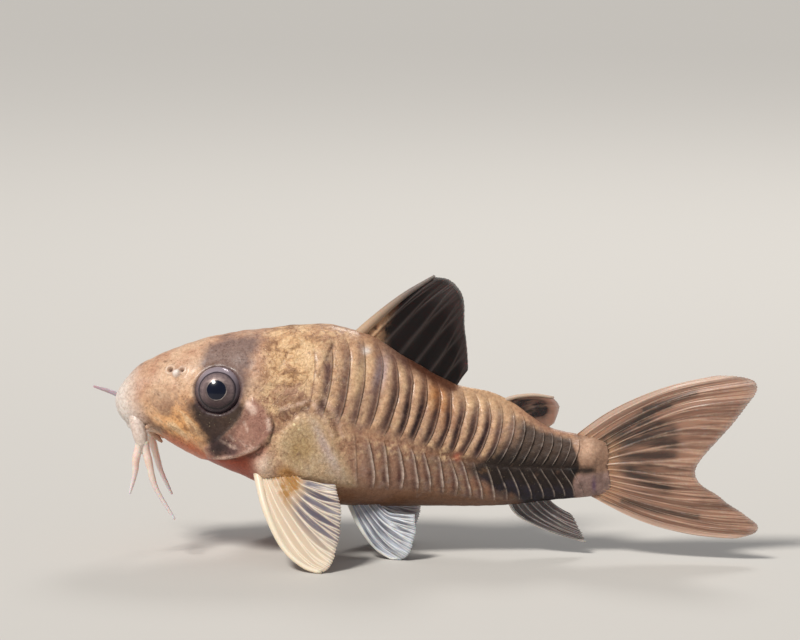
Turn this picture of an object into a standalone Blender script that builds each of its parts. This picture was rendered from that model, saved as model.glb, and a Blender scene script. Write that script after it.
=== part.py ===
"""A corydoras catfish, life size, resting on its paired fins as on the bottom of a stream.

The fish faces -X with its left side towards -Y, and stands on the plane z = 0.
The body is one surface, given by a few stations from the snout to the tail base.
Its bony scutes are plates set on that surface in two rows on each side.
"""

import math
import random

import bmesh
import bpy
import numpy as np
from mathutils import Matrix, Vector

MM = 0.001

# Driving dimensions
TAIL_BASE = 38.7 * MM  # from the snout to the root of the tail fin, along the body
TAIL_ROOT_END = 39.7 * MM  # the flat fleshy end that carries the tail fin
GAP = 0.3 * MM  # between nodes that touch
HEAD_END = 12.6 * MM  # the gill opening
TRUNK_END = 30.9 * MM  # where the tail stalk begins
NOSE_ROUNDING = 2.2 * MM

# The body's stations: distance from the snout, heights of back, belly and widest line,
# half width, and the roundness of the upper and lower halves (2 is an ellipse), in mm
BODY_STATIONS = (
    (0.0, 14.1, 10.3, 12.4, 2.30, 2.1, 2.2),
    (2.8, 15.7, 9.90, 11.9, 3.00, 2.1, 2.3),
    (5.4, 16.8, 8.50, 11.3, 3.95, 2.1, 2.4),
    (8.5, 17.7, 7.00, 10.6, 4.80, 2.0, 2.6),
    (12.0, 18.2, 5.75, 9.8, 5.30, 2.0, 2.8),
    (16.0, 18.5, 4.20, 9.2, 5.20, 2.0, 2.8),
    (19.8, 18.0, 3.90, 8.9, 4.60, 1.9, 2.8),
    (23.5, 15.9, 3.80, 8.4, 3.70, 1.8, 2.6),
    (28.0, 13.55, 3.80, 7.6, 2.65, 1.7, 2.4),
    (30.2, 13.0, 3.85, 7.25, 2.30, 1.6, 2.3),
    (32.0, 12.3, 4.00, 7.0, 2.00, 1.6, 2.2),
    (35.5, 10.3, 4.50, 6.9, 1.45, 2.0, 2.1),
    (38.7, 9.7, 4.90, 7.1, 0.95, 2.0, 2.0),
    (39.7, 9.35, 5.15, 7.2, 0.62, 2.1, 2.1),
    (40.4, 8.5, 5.90, 7.2, 0.45, 2.2, 2.2),
)

# The scutes. The slants give how far a plate's end lies behind its foot, for its height
SCUTE_FIRST = 15.3 * MM  # front of the first plate of the upper row
LOWER_ROW_FIRST = 19.4 * MM
SCUTE_LAST = 38.6 * MM
SCUTE_LENGTHS = (1.36 * MM, 0.74 * MM)  # of the first and of the last plate
SCUTE_LIFT = (0.03 * MM, 0.24 * MM)  # of a plate's front and rear edge over the skin
SCUTE_ROOT = 0.45 * MM  # how far a plate is sunk in the body
SCUTE_LAP = 0.16 * MM  # a plate's front reaches this far under the one before
LATERAL_ANGLES = ((15.0, 14.0), (22.5, 10.0), (28.0, 8.0), (39.0, 8.0))  # mm, degrees
UPPER_ANGLES = ((15.0, 66.0), (20.0, 76.0), (30.0, 76.0), (39.0, 70.0))
LOWER_ANGLES = ((18.0, -26.0), (24.0, -32.0), (33.0, -56.0), (39.0, -64.0))
UPPER_SLANTS = ((16.0, 0.05), (20.0, 0.12), (26.0, 0.17), (32.0, 0.22), (38.0, 0.30))
LOWER_SLANTS = ((20.0, 0.13), (29.0, 0.18), (34.0, 0.38), (39.0, 0.60))
SLANT_CURVE = 2.2  # 1 gives straight plate edges; more bends them towards the lateral line
SLANT_COMES = (12.5 * MM, 18.0 * MM)  # the slant grows behind the head
SLANT_GOES = (33.0 * MM, 0.75)  # from here on it dies out, by this share
GILL_BULGE = (0.5 * MM, -8.0, 32.0, 2.5 * MM)  # the gill opening: depth, angle, spread, length
LATERAL_GROOVE = 2.0  # degrees left bare each side of the lateral line
SCUTE_COLUMNS = 5
SCUTE_END_DROP = 0.45  # how much lower a plate is at its upper and lower end
SCUTE_VARIETY = 0.12  # plates differ in lift by up to this share

# Eyes
EYE_STATION = 8.42 * MM
EYE_ANGLE = 28.0  # degrees above the widest line
EYE_RADIUS = 2.15 * MM
EYE_SUNK = 1.2 * MM
EYE_TILT_UP = 14.0
EYE_TILT_FORWARD = 6.0

# The bend of the body towards the left
BEND_START = 20.0 * MM
BEND_END = 34.0 * MM
BEND_DEGREES = 11.0

FIN_THICKNESS = 0.62 * MM  # at the root of a ray
MEMBRANE_SHARE = 0.74  # of that, between the rays
EDGE_SHARE = 0.5  # of the thickness, left at the fin's margin
LOBE_GAP = 0.34 * MM  # between the upper and the lower half of the tail fin

WELD = 0.0005 * MM
NEARLY_FLAT = math.radians(0.6)

LEFT, RIGHT = 1, -1
RNG = random.Random(11)


def clear_scene():
    for obj in list(bpy.data.objects):
        bpy.data.objects.remove(obj)


def collection(name):
    made = bpy.data.collections.new(name)
    bpy.context.scene.collection.children.link(made)
    return made


def material(name, colour, roughness, metallic=0.0):
    made = bpy.data.materials.new(name)
    made.use_nodes = True
    shader = made.node_tree.nodes["Principled BSDF"]
    shader.inputs["Base Color"].default_value = (*colour, 1.0)
    shader.inputs["Roughness"].default_value = roughness
    shader.inputs["Metallic"].default_value = metallic
    made.diffuse_color = (*colour, 1.0)
    return made


def smooth_step(low, high, value):
    share = np.clip((np.asarray(value, float) - low) / (high - low), 0.0, 1.0)
    return share * share * (3.0 - 2.0 * share)


def monotone(xs, ys):
    """A smooth curve through the points that never overshoots them (Fritsch and Carlson)."""
    xs, ys = np.asarray(xs, float), np.asarray(ys, float)
    steps = np.diff(xs)
    slopes = np.diff(ys) / steps
    tangents = np.zeros(len(xs))
    tangents[0], tangents[-1] = slopes[0], slopes[-1]
    for i in range(1, len(xs) - 1):
        if slopes[i - 1] * slopes[i] > 0:
            before, after = 2 * steps[i] + steps[i - 1], steps[i] + 2 * steps[i - 1]
            tangents[i] = (before + after) / (before / slopes[i - 1] + after / slopes[i])

    def value(x):
        x = np.clip(np.asarray(x, float), xs[0], xs[-1])
        i = np.clip(np.searchsorted(xs, x, side="right") - 1, 0, len(xs) - 2)
        t = (x - xs[i]) / steps[i]
        return (
            ys[i] * (1 + 2 * t) * (1 - t) ** 2
            + ys[i + 1] * t * t * (3 - 2 * t)
            + steps[i] * t * (1 - t) * (tangents[i] * (1 - t) - tangents[i + 1] * t)
        )

    return value


def angle_curve(pairs):
    return monotone([p[0] * MM for p in pairs], [p[1] for p in pairs])


STATION_S = [row[0] * MM for row in BODY_STATIONS]
BACK, BELLY, WIDEST, HALF_WIDTH = (
    monotone(STATION_S, [row[k] * MM for row in BODY_STATIONS]) for k in (1, 2, 3, 4)
)
UPPER_ROUND, LOWER_ROUND = (
    monotone(STATION_S, [row[k] for row in BODY_STATIONS]) for k in (5, 6)
)
LATERAL_ANGLE = angle_curve(LATERAL_ANGLES)
UPPER_ANGLE = angle_curve(UPPER_ANGLES)
LOWER_ANGLE = angle_curve(LOWER_ANGLES)
UPPER_SLANT = angle_curve(UPPER_SLANTS)
LOWER_SLANT = angle_curve(LOWER_SLANTS)


def spine_line(s):
    """The body's axis seen from above: x, y and heading, with the bend towards -Y."""
    s = np.asarray(s, float)
    knots = np.linspace(-4 * MM, 56 * MM, 241)
    heading = -math.radians(BEND_DEGREES) * smooth_step(BEND_START, BEND_END, knots)
    step = knots[1] - knots[0]
    x = np.concatenate([[0], np.cumsum(np.cos((heading[1:] + heading[:-1]) / 2))]) * step
    y = np.concatenate([[0], np.cumsum(np.sin((heading[1:] + heading[:-1]) / 2))]) * step
    return (
        np.interp(s, knots, x + knots[0]),
        np.interp(s, knots, y),
        np.interp(s, knots, heading),
    )


def place(s, left, z):
    """World points from distance along the body, distance to the fish's left, and height."""
    x, y, heading = spine_line(s)
    left = np.asarray(left, float)
    made = (x + left * np.sin(heading), y - left * np.cos(heading), z + 0 * x)
    return np.stack(np.broadcast_arrays(*made), axis=-1)


def body_points(s, degrees):
    """Points of the smooth body: 0 degrees is the left flank, 90 the back, -90 the belly."""
    s = np.clip(np.asarray(s, float), 0.0, STATION_S[-1])
    s, degrees = np.broadcast_arrays(s, np.asarray(degrees, float))
    a = np.radians(degrees)
    nose = np.sqrt(1.0 - (1.0 - np.minimum(s / NOSE_ROUNDING, 1.0)) ** 2)
    up = np.sin(a) >= 0
    power = 2.0 / np.where(up, UPPER_ROUND(s), LOWER_ROUND(s))
    left = np.sign(np.cos(a)) * HALF_WIDTH(s) * np.abs(np.cos(a)) ** power * nose
    middle = WIDEST(s)
    reach = np.where(up, BACK(s), BELLY(s)) - middle
    return place(s, left, middle + reach * np.abs(np.sin(a)) ** power * nose)


def body_normals(s, degrees):
    ds, da = 0.05 * MM, 0.5
    along = body_points(s + ds, degrees) - body_points(s - ds, degrees)
    round_it = body_points(s, degrees + da) - body_points(s, degrees - da)
    normal = np.cross(along, round_it)
    return normal / np.maximum(np.linalg.norm(normal, axis=-1, keepdims=True), 1e-12)


def on_body(s, degrees, lift=0.0):
    """Points this far out from the smooth body."""
    s, degrees = np.broadcast_arrays(np.asarray(s, float), np.asarray(degrees, float))
    return body_points(s, degrees) + body_normals(s, degrees) * np.asarray(lift)[..., None]


def mirrored(degrees, side):
    return degrees if side == LEFT else 180.0 - degrees


def folded(degrees):
    """Any angle as one of the left half, so that both sides share their sizes."""
    a = (np.asarray(degrees, float) + 90.0) % 360.0 - 90.0
    return np.where(a > 90.0, 180.0 - a, a)


def slanted(station, degrees):
    """Distance from the snout of the line of scute edges that crosses the flank at a station."""
    station, a = np.broadcast_arrays(np.asarray(station, float), folded(degrees))
    lateral = LATERAL_ANGLE(station)
    upper = np.clip((a - lateral) / (UPPER_ANGLE(station) - lateral), 0.0, 1.0)
    lower = np.clip((lateral - a) / (lateral - LOWER_ANGLE(station)), 0.0, 1.0)
    height_up, height_down = BACK(station) - WIDEST(station), WIDEST(station) - BELLY(station)
    slant = UPPER_SLANT(station) * height_up * (1 - (1 - upper) ** SLANT_CURVE)
    slant = slant + LOWER_SLANT(station) * height_down * (1 - (1 - lower) ** SLANT_CURVE)
    come = smooth_step(*SLANT_COMES, station)
    go = 1.0 - SLANT_GOES[1] * smooth_step(SLANT_GOES[0], SCUTE_LAST, station)
    depth, middle, spread, length = GILL_BULGE
    gill = depth * np.exp(-(((a - middle) / spread) ** 2))
    gill = gill * np.exp(-(((station - HEAD_END) / length) ** 2))
    return station + slant * come * go + gill


def new_object(name, mesh, look, owner):
    obj = bpy.data.objects.new(name, mesh)
    if look is not None:
        mesh.materials.clear()
        mesh.materials.append(look)
    owner.objects.link(obj)
    return obj


def mesh_from(name, points, faces):
    mesh = bpy.data.meshes.new(name)
    mesh.from_pydata([tuple(map(float, p)) for p in points], [], [tuple(f) for f in faces])
    bm = bmesh.new()
    bm.from_mesh(mesh)
    bmesh.ops.recalc_face_normals(bm, faces=bm.faces)
    bm.to_mesh(mesh)
    bm.free()
    return mesh


def loft(name, rings, first_tip, last_tip):
    """A closed body through rings of equal length, closed by a point at each end."""
    rings = np.asarray(rings)
    count, around = rings.shape[:2]
    points = [*rings.reshape(-1, 3), first_tip, last_tip]
    faces = []
    for i in range(count - 1):
        for j in range(around):
            k = (j + 1) % around
            a, b = i * around + j, i * around + k
            faces += [(a, a + around, b + around), (a, b + around, b)]
    for j in range(around):
        k = (j + 1) % around
        last = (count - 1) * around
        faces += [(j, k, count * around), (last + k, last + j, count * around + 1)]
    return mesh_from(name, points, faces)


def body_length(name, stations, around, lift=0.0):
    """A length of the body between its first and last station, as a closed loft."""
    degrees = -90.0 + 360.0 * np.arange(around) / around
    rings = [on_body(slanted(station, degrees), degrees, lift) for station in stations]
    tips = []
    for ring, station in ((rings[0], stations[0]), (rings[-1], stations[-1])):
        if station < 0.2 * MM:
            tips.append(place(0.0, 0.0, WIDEST(0.0)) - np.array([np.max(lift), 0.0, 0.0]))
        else:
            tips.append(np.mean(ring, axis=0))
    return loft(name, rings, tips[0], tips[1])


def slab(name, top, bottom):
    """A closed plate from two matching grids of points."""
    rows, columns = top.shape[:2]
    size = rows * columns
    points = [*top.reshape(-1, 3), *bottom.reshape(-1, 3)]
    faces = []
    for i in range(rows - 1):
        for j in range(columns - 1):
            a = i * columns + j
            b, c, d = a + 1, a + columns + 1, a + columns
            faces += [(a, b, c), (a, c, d)]
            faces += [(size + a, size + c, size + b), (size + a, size + d, size + c)]
    edge = [(0, j) for j in range(columns - 1)]
    edge += [(i, columns - 1) for i in range(rows - 1)]
    edge += [(rows - 1, j) for j in range(columns - 1, 0, -1)]
    edge += [(i, 0) for i in range(rows - 1, 0, -1)]
    loop = [i * columns + j for i, j in edge]
    for a, b in zip(loop, loop[1:] + loop[:1]):
        faces += [(a, b, size + b), (a, size + b, size + a)]
    return mesh_from(name, points, faces)


def evaluated_mesh(obj):
    graph = bpy.context.evaluated_depsgraph_get()
    return bpy.data.meshes.new_from_object(obj.evaluated_get(graph))


def settle(obj):
    """Applies an object's modifiers."""
    mesh = evaluated_mesh(obj)
    obj.modifiers.clear()
    obj.data = mesh


def keep_largest(obj):
    """Welds points a few microns apart, and keeps the largest closed surface."""
    bm = bmesh.new()
    bm.from_mesh(obj.data)
    bmesh.ops.remove_doubles(bm, verts=bm.verts, dist=WELD)
    bmesh.ops.dissolve_degenerate(bm, edges=bm.edges, dist=WELD)
    bmesh.ops.dissolve_limit(bm, angle_limit=NEARLY_FLAT, verts=bm.verts, edges=bm.edges)
    bmesh.ops.triangulate(bm, faces=bm.faces)
    left, islands = set(bm.verts), []
    while left:
        found, todo = set(), [left.pop()]
        while todo:
            vert = todo.pop()
            found.add(vert)
            for edge in vert.link_edges:
                other = edge.other_vert(vert)
                if other in left:
                    left.discard(other)
                    todo.append(other)
        islands.append(found)
    islands.sort(key=len)
    for scrap in islands[:-1]:
        bmesh.ops.delete(bm, geom=list(scrap), context="VERTS")
    bm.to_mesh(obj.data)
    bm.free()


def fuse(obj, pieces, solver="EXACT"):
    """Joins pieces into an object by one Boolean union on their collection."""
    group = collection(obj.name + "_pieces")
    for piece in pieces:
        for owner in list(piece.users_collection):
            owner.objects.unlink(piece)
        group.objects.link(piece)
    union = obj.modifiers.new("union", "BOOLEAN")
    union.operation = "UNION"
    union.operand_type = "COLLECTION"
    union.collection = group
    union.solver = solver
    settle(obj)
    for piece in list(group.objects):
        bpy.data.objects.remove(piece)
    bpy.data.collections.remove(group)
    keep_largest(obj)


def cut(obj, cutters, solver="EXACT"):
    for cutter in cutters:
        cutter.hide_render = True
        cutter.display_type = "WIRE"
        difference = obj.modifiers.new("cut", "BOOLEAN")
        difference.operation = "DIFFERENCE"
        difference.object = cutter
        difference.solver = solver
    settle(obj)
    keep_largest(obj)


def tube(name, points, radii, owner, look=None, sides=1):
    """A tapered tube through the points, as a mesh with welded caps."""
    data = bpy.data.curves.new(name, "CURVE")
    data.dimensions = "3D"
    data.bevel_depth = 1.0
    data.bevel_resolution = sides
    data.use_fill_caps = True
    line = data.splines.new("POLY")
    line.points.add(len(points) - 1)
    for point, place_at, radius in zip(line.points, points, radii):
        point.co = (*map(float, place_at), 1.0)
        point.radius = float(radius)
    curve = bpy.data.objects.new(name + "_line", data)
    owner.objects.link(curve)
    mesh = evaluated_mesh(curve)
    bpy.data.objects.remove(curve)
    bm = bmesh.new()
    bm.from_mesh(mesh)
    bmesh.ops.remove_doubles(bm, verts=bm.verts, dist=1e-6)
    bmesh.ops.recalc_face_normals(bm, faces=bm.faces)
    bm.to_mesh(mesh)
    bm.free()
    return new_object(name, mesh, look, owner)


def curve_through(points, count):
    """A smooth Catmull-Rom curve through a few points, read at even steps."""
    p = np.asarray(points, float)
    p = np.vstack([2 * p[0] - p[1], p, 2 * p[-1] - p[-2]])
    at = np.linspace(0, len(points) - 1, count)
    i = np.minimum(at.astype(int), len(points) - 2)
    t = (at - i)[:, None]
    a, b, c, d = p[i], p[i + 1], p[i + 2], p[i + 3]
    return 0.5 * (
        2 * b + (c - a) * t + (2 * a - 5 * b + 4 * c - d) * t**2 + (3 * b - a - 3 * c + d) * t**3
    )


def tapered(start, end, count, power=1.0):
    share = np.linspace(0, 1, count) ** power
    return start + (end - start) * share


# The looks
SKIN = material("tan_skin", (0.52, 0.38, 0.25), 0.42)
FLANK = material("golden_flank", (0.50, 0.38, 0.22), 0.36, 0.15)
STALK = material("charcoal_stalk", (0.24, 0.19, 0.15), 0.40, 0.10)
EYE = material("silver_ringed_eye", (0.10, 0.09, 0.12), 0.12, 0.10)
BARBEL = material("pale_barbel", (0.74, 0.58, 0.50), 0.50)
DARK_FIN = material("blackish_fin", (0.07, 0.055, 0.05), 0.45)
ADIPOSE = material("grey_fin", (0.36, 0.28, 0.24), 0.45)
TAIL_FIN = material("tan_fin", (0.58, 0.42, 0.33), 0.45)
WHITE_FIN = material("cream_fin", (0.78, 0.71, 0.60), 0.42)
BLUISH_FIN = material("bluish_fin", (0.66, 0.68, 0.72), 0.42)

# Plates of bone that stand out of the head and the shoulder: station, degrees, half length,
# half height in degrees, lift
OPERCLE = (11.2 * MM, -10.0, 1.55 * MM, 25.0, 0.26 * MM)
CHEEK = (8.3 * MM, -18.0, 1.70 * MM, 16.0, 0.16 * MM)
SNOUT_PLATE = (4.7 * MM, 8.0, 1.20 * MM, 20.0, 0.12 * MM)
SHOULDER = (15.4 * MM, -20.0, 1.95 * MM, 30.0, 0.30 * MM)
CORACOID = (13.9 * MM, -58.0, 1.10 * MM, 12.0, 0.26 * MM)
NAPE = (14.6 * MM, 90.0, 1.3 * MM, 22.0, 0.16 * MM)
NUCHAL = (17.4 * MM, 90.0, 1.15 * MM, 18.0, 0.24 * MM)
PLATE_ROOT = 0.5 * MM
PLATE_SQUARENESS = 0.8  # 1 gives an oval outline; less makes it squarer
# A plate's rings from its root to its top, as shares of its size and of its lift
PLATE_RINGS = ((1.0, 0.45), (0.86, 1.0), (0.45, 1.15))
PLATE_ROOT_RINGS = (0.55, 0.95)
PLATE_TOP = 1.2

# Small plates along the midline of the back: each a short tube, given by distance and lift
RIDGE_START = 28.0 * MM
RIDGE_PITCH = 0.8 * MM
RIDGE_LINE = ((-0.10 * MM, -0.35 * MM), (0.30 * MM, -0.12 * MM), (0.80 * MM, -0.04 * MM))
RIDGE_RADII = (0.34 * MM, 0.42 * MM, 0.36 * MM)

# The raised rim of the eye: how far inside its foot it starts, how far out it runs, thickness
EYE_RIM = (0.05 * MM, 0.27 * MM, 0.34 * MM)

# Nostrils: station, degrees, radius
NOSTRILS = ((4.6 * MM, 48.0, 0.40 * MM), (5.55 * MM, 45.0, 0.32 * MM))
NOSTRIL_RIM = 0.16 * MM
NOSTRIL_HOLE = 0.5  # of the rim's radius
NOSTRIL_DRILL = 1.1 * MM  # length of the cutter

# The mouth lies under the snout, and its arc runs back to the corners
MOUTH_FRONT = 1.55 * MM
MOUTH_BACK_SWEEP = 0.95 * MM
MOUTH_HALF_ARC = 58.0
LIP_SPACING = 0.42 * MM
LIP_RADIUS = 0.34 * MM
SLIT_WIDTH = 0.2 * MM
SLIT_DEPTH = 0.7 * MM
SLIT_OVERSHOOT = 0.8 * MM  # how far the cutter stands out of the skin
LIP_TAPER = 0.35  # how much thinner the lips are at the corners
REAR_LIP_SHARE = 0.9
MOUTH_POINTS = 9

# Fleshy stem at each corner of the mouth that both feelers of a side leave: distance from the
# snout, distance from the midline and height, in mm
CORNER_STEM = ((2.1, 1.2, 11.2), (2.2, 2.3, 10.3), (2.3, 2.9, 9.2))
STEM_RADII = (0.80 * MM, 0.70 * MM, 0.48 * MM)
LIP_FLAP = ((2.7, 0.7, 10.5), (3.2, 0.85, 9.7), (3.8, 1.0, 9.1))
FLAP_RADII = (0.40 * MM, 0.34 * MM, 0.20 * MM)

# Barbels: points along each as distance from the snout, distance from the midline, height
BARBEL_RADII = (0.34 * MM, 0.16 * MM)
LEFT_FRONT_BARBEL = ((2.15, 2.8, 9.4), (1.82, 3.1, 8.1), (1.72, 3.2, 6.9), (1.3, 3.2, 5.3))
LEFT_REAR_BARBEL = ((2.45, 2.8, 9.4), (2.82, 3.1, 7.9), (3.4, 3.4, 5.8), (4.9, 3.7, 3.3))
RIGHT_FRONT_BARBEL = ((2.1, 2.4, 10.1), (1.1, 3.1, 11.2), (0.0, 3.5, 12.3), (-2.0, 3.7, 13.0))
RIGHT_REAR_BARBEL = ((2.45, 2.8, 9.4), (2.9, 3.1, 8.0), (3.4, 3.6, 6.0), (4.3, 3.9, 3.9))

# Fins: guide rays from the first to the last, each a few points from root to margin as
# distance along the body, distance to the left and height, in mm
DORSAL = (
    ((18.4, 0, 16.4), (20.6, 0, 18.6), (23.2, 0, 20.8), (25.8, -0.1, 22.5)),
    ((20.4, 0, 15.9), (22.6, 0, 18.3), (24.8, 0, 20.5), (27.0, -0.1, 22.2)),
    ((23.2, 0, 15.0), (25.0, 0, 17.4), (26.6, 0.1, 19.4), (28.1, 0.1, 21.0)),
    ((25.2, 0, 13.8), (26.4, 0, 15.4), (27.4, 0.1, 16.9), (28.3, 0.2, 18.3)),
    ((27.0, 0, 12.6), (27.5, 0, 13.4), (28.0, 0, 14.2), (28.6, 0.1, 15.0)),
)
ADIPOSE_FIN = (
    ((30.8, 0, 12.1), (32.2, 0, 12.75), (33.9, 0, 13.0), (35.5, 0, 12.85)),
    ((32.6, 0, 11.2), (33.7, 0, 11.9), (34.8, 0, 12.2), (36.0, 0, 12.1)),
    ((34.6, 0, 9.8), (34.9, 0, 10.2), (35.2, 0, 10.5), (35.6, 0, 10.8)),
)
CAUDAL = (
    ((36.0, 0, 8.8), (40.0, 0, 11.85), (44.6, 0, 14.0), (50.0, -0.2, 15.35)),
    ((37.6, 0, 8.4), (41.6, 0, 11.1), (46.2, 0.1, 13.2), (52.0, 0.0, 14.3)),
    ((39.0, 0, 8.2), (42.4, 0, 9.9), (46.2, 0.3, 11.2), (50.3, 0.3, 11.5)),
    ((39.4, 0, 7.3), (41.9, 0, 7.35), (44.5, 0.4, 7.35), (47.1, 0.5, 7.3)),
    ((39.0, 0, 6.2), (42.4, 0, 5.5), (45.9, 0.3, 5.1), (49.4, 0.4, 5.0)),
    ((38.2, 0, 5.8), (43.2, 0, 4.1), (47.8, 0.1, 3.2), (52.1, 0.1, 3.0)),
    ((37.0, 0, 5.7), (42.2, 0, 3.2), (46.6, 0, 2.1), (51.4, -0.1, 1.8)),
)
ANAL = (
    ((31.6, 0, 4.9), (32.6, 0, 3.2), (35.2, -0.2, 1.9), (38.1, -0.3, 1.1)),
    ((33.0, 0, 5.0), (34.4, 0, 3.5), (36.2, 0.0, 2.4), (38.0, 0.0, 1.7)),
    ((34.6, 0, 5.2), (35.4, 0, 4.3), (36.2, 0.1, 3.8), (37.1, 0.2, 3.4)),
)
PECTORAL = (
    ((11.5, 3.8, 7.5), (12.3, 6.0, 4.6), (13.7, 7.7, 1.9), (15.3, 8.8, 0.55), (16.8, 9.4, 0.05)),
    ((12.0, 3.9, 7.6), (13.3, 6.1, 5.0), (15.0, 7.7, 2.6), (16.3, 8.6, 1.2), (17.5, 9.1, 0.5)),
    ((12.8, 4.0, 7.7), (14.1, 6.0, 5.6), (15.6, 7.2, 4.0), (17.0, 7.9, 3.0), (18.2, 8.4, 2.3)),
    ((13.5, 4.1, 7.7), (14.8, 5.7, 6.2), (16.1, 6.6, 5.4), (17.3, 7.1, 4.9), (18.4, 7.5, 4.6)),
    ((14.1, 4.2, 7.7), (15.1, 5.4, 6.9), (16.0, 5.9, 6.8), (17.0, 6.3, 6.7), (17.9, 6.6, 6.7)),
)
PECTORAL_SWEEP = 8.0  # degrees the right fin is held further forward
PECTORAL_HINGE = (12.5, 4.3)  # distance from the snout and from the midline, in mm
SPINE_RADII = {"dorsal": (0.55 * MM, 0.30 * MM), "adipose": (0.42 * MM, 0.26 * MM),
               "pectoral": (0.62 * MM, 0.34 * MM)}
GROUND_BLOCK = (90 * MM, 60 * MM, 10 * MM)

# The envelope of the body that trims the fins' roots: first and last station and count
ENVELOPE_STATIONS = ((0.05 * MM, 12 * MM, 12), (13 * MM, 41 * MM, 30))
ENVELOPE_AROUND = 48
ENVELOPE_LIFT = GAP + 0.9 * SCUTE_LIFT[1]  # just under the plates' edges
PELVIC = (
    ((18.6, 1.7, 4.9), (19.8, 2.9, 2.5), (21.1, 3.5, 0.85), (22.9, 4.0, -0.15)),
    ((19.3, 1.8, 4.9), (20.8, 3.1, 2.9), (22.2, 3.8, 1.5), (23.9, 4.3, 0.55)),
    ((20.0, 1.8, 4.9), (21.6, 3.1, 3.3), (23.0, 3.9, 2.7), (24.5, 4.5, 2.3)),
    ((20.6, 1.8, 4.9), (22.0, 3.0, 3.8), (23.2, 3.6, 3.7), (24.4, 4.2, 3.8)),
)


def body_nodes(owner):
    half_gap = GAP / 2
    nodes = []
    for name, first, last, count, around, look in (
        ("head", 0.05 * MM, HEAD_END - half_gap, 15, 36, SKIN),
        ("torso", HEAD_END + half_gap, TRUNK_END - half_gap, 13, 36, FLANK),
        ("tail", TRUNK_END + half_gap, TAIL_ROOT_END, 8, 32, STALK),
    ):
        power = 1.35 if name == "head" else 1.0
        stations = tapered(first, last, count, power)
        nodes.append(new_object(name, body_length(name, stations, around), look, owner))
    return nodes


def scute_seams():
    """Stations of the plates' seams, shorter and shorter towards the tail."""
    seams = [SCUTE_FIRST]
    while seams[-1] < SCUTE_LAST:
        share = (seams[-1] - SCUTE_FIRST) / (SCUTE_LAST - SCUTE_FIRST)
        length = SCUTE_LENGTHS[0] + (SCUTE_LENGTHS[1] - SCUTE_LENGTHS[0]) * share
        seams.append(seams[-1] + length)
    return seams


def scute(name, front, rear, low, high, side, owner):
    """One plate, lifted at its rear edge and sunk at its front under the one before."""
    columns = SCUTE_COLUMNS
    share = np.linspace(0.0, 1.0, columns)
    rise = 1.0 - SCUTE_END_DROP * np.abs(2 * share - 1) ** 4
    top, bottom = [], []
    for station, lift in ((front - SCUTE_LAP, SCUTE_LIFT[0]), (rear, SCUTE_LIFT[1])):
        degrees = low(station) + (high(station) - low(station)) * share
        s = slanted(station, degrees)
        varied = lift * (1 + SCUTE_VARIETY * RNG.uniform(-1, 1))
        top.append(on_body(s, mirrored(degrees, side), varied * rise))
        bottom.append(on_body(s, mirrored(degrees, side), -SCUTE_ROOT * np.ones(columns)))
    return new_object(name, slab(name, np.array(top), np.array(bottom)), None, owner)


def scutes_between(start, end, owner):
    rows = (
        (SCUTE_FIRST, lambda s: LATERAL_ANGLE(s) + LATERAL_GROOVE, UPPER_ANGLE),
        (LOWER_ROW_FIRST, LOWER_ANGLE, lambda s: LATERAL_ANGLE(s) - LATERAL_GROOVE),
    )
    made = []
    for first, low, high in rows:
        seams = scute_seams()
        for front, rear in zip(seams[:-1], seams[1:]):
            middle = (front + rear) / 2
            if front < first - SCUTE_LENGTHS[0] / 2 or not start < middle < end:
                continue
            front = max(front, start + SCUTE_LAP + GAP / 2)
            rear = min(rear, end - GAP / 2)
            for side in (LEFT, RIGHT):
                made.append(scute("plate", front, rear, low, high, side, owner))
    return made


def plate(sizes, side, owner, around=14):
    """A rounded plate of bone on the body, from its station, angle, half sizes and lift."""
    station, degrees, half_length, half_degrees, lift = sizes
    turn = 2 * math.pi * np.arange(around) / around
    across = np.sign(np.cos(turn)) * np.abs(np.cos(turn)) ** PLATE_SQUARENESS
    up = np.sign(np.sin(turn)) * np.abs(np.sin(turn)) ** PLATE_SQUARENESS

    def ring(size, height):
        s = station + half_length * across * size
        a = degrees + half_degrees * up * size
        return on_body(s, mirrored(a, side), height * np.ones(around))

    rings = [ring(size, -PLATE_ROOT) for size in PLATE_ROOT_RINGS]
    rings += [ring(size, share * lift) for size, share in PLATE_RINGS]
    heights = (-PLATE_ROOT, PLATE_TOP * lift)
    tips = [on_body(station, mirrored(degrees, side), height) for height in heights]
    return new_object("plate", loft("plate", rings, tips[0], tips[1]), None, owner)


def frame_at(station, degrees, side):
    """Position and outward rotation on the body."""
    where = Vector(on_body(station, mirrored(degrees, side), 0.0))
    outward = Vector(body_normals(np.array(station), mirrored(degrees, side)))
    return where, outward


def eye_axis(side):
    where, outward = frame_at(EYE_STATION, EYE_ANGLE, side)
    up = math.radians(EYE_TILT_UP)
    forward = math.radians(EYE_TILT_FORWARD)
    level = Vector((-math.sin(forward), -side * math.cos(forward), 0.0)) * math.cos(up)
    axis = (level + Vector((0, 0, math.sin(up)))).normalized()
    return where - outward * EYE_SUNK, axis


def ball(name, centre, radius, axis, owner, look=None, segments=16, rings=9):
    bpy.ops.mesh.primitive_uv_sphere_add(segments=segments, ring_count=rings, radius=radius)
    obj = bpy.context.object
    obj.name = name
    turn = axis.to_track_quat("Z", "Y").to_matrix().to_4x4()
    obj.data.transform(Matrix.Translation(centre) @ turn)
    move_to(obj, owner, look)
    return obj


def ring_round(name, centre, axis, major, minor, owner, segments=20, sides=6):
    bpy.ops.mesh.primitive_torus_add(
        major_segments=segments, minor_segments=sides, major_radius=major, minor_radius=minor
    )
    obj = bpy.context.object
    obj.name = name
    turn = axis.to_track_quat("Z", "Y").to_matrix().to_4x4()
    obj.data.transform(Matrix.Translation(centre) @ turn)
    move_to(obj, owner, None)
    return obj


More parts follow.
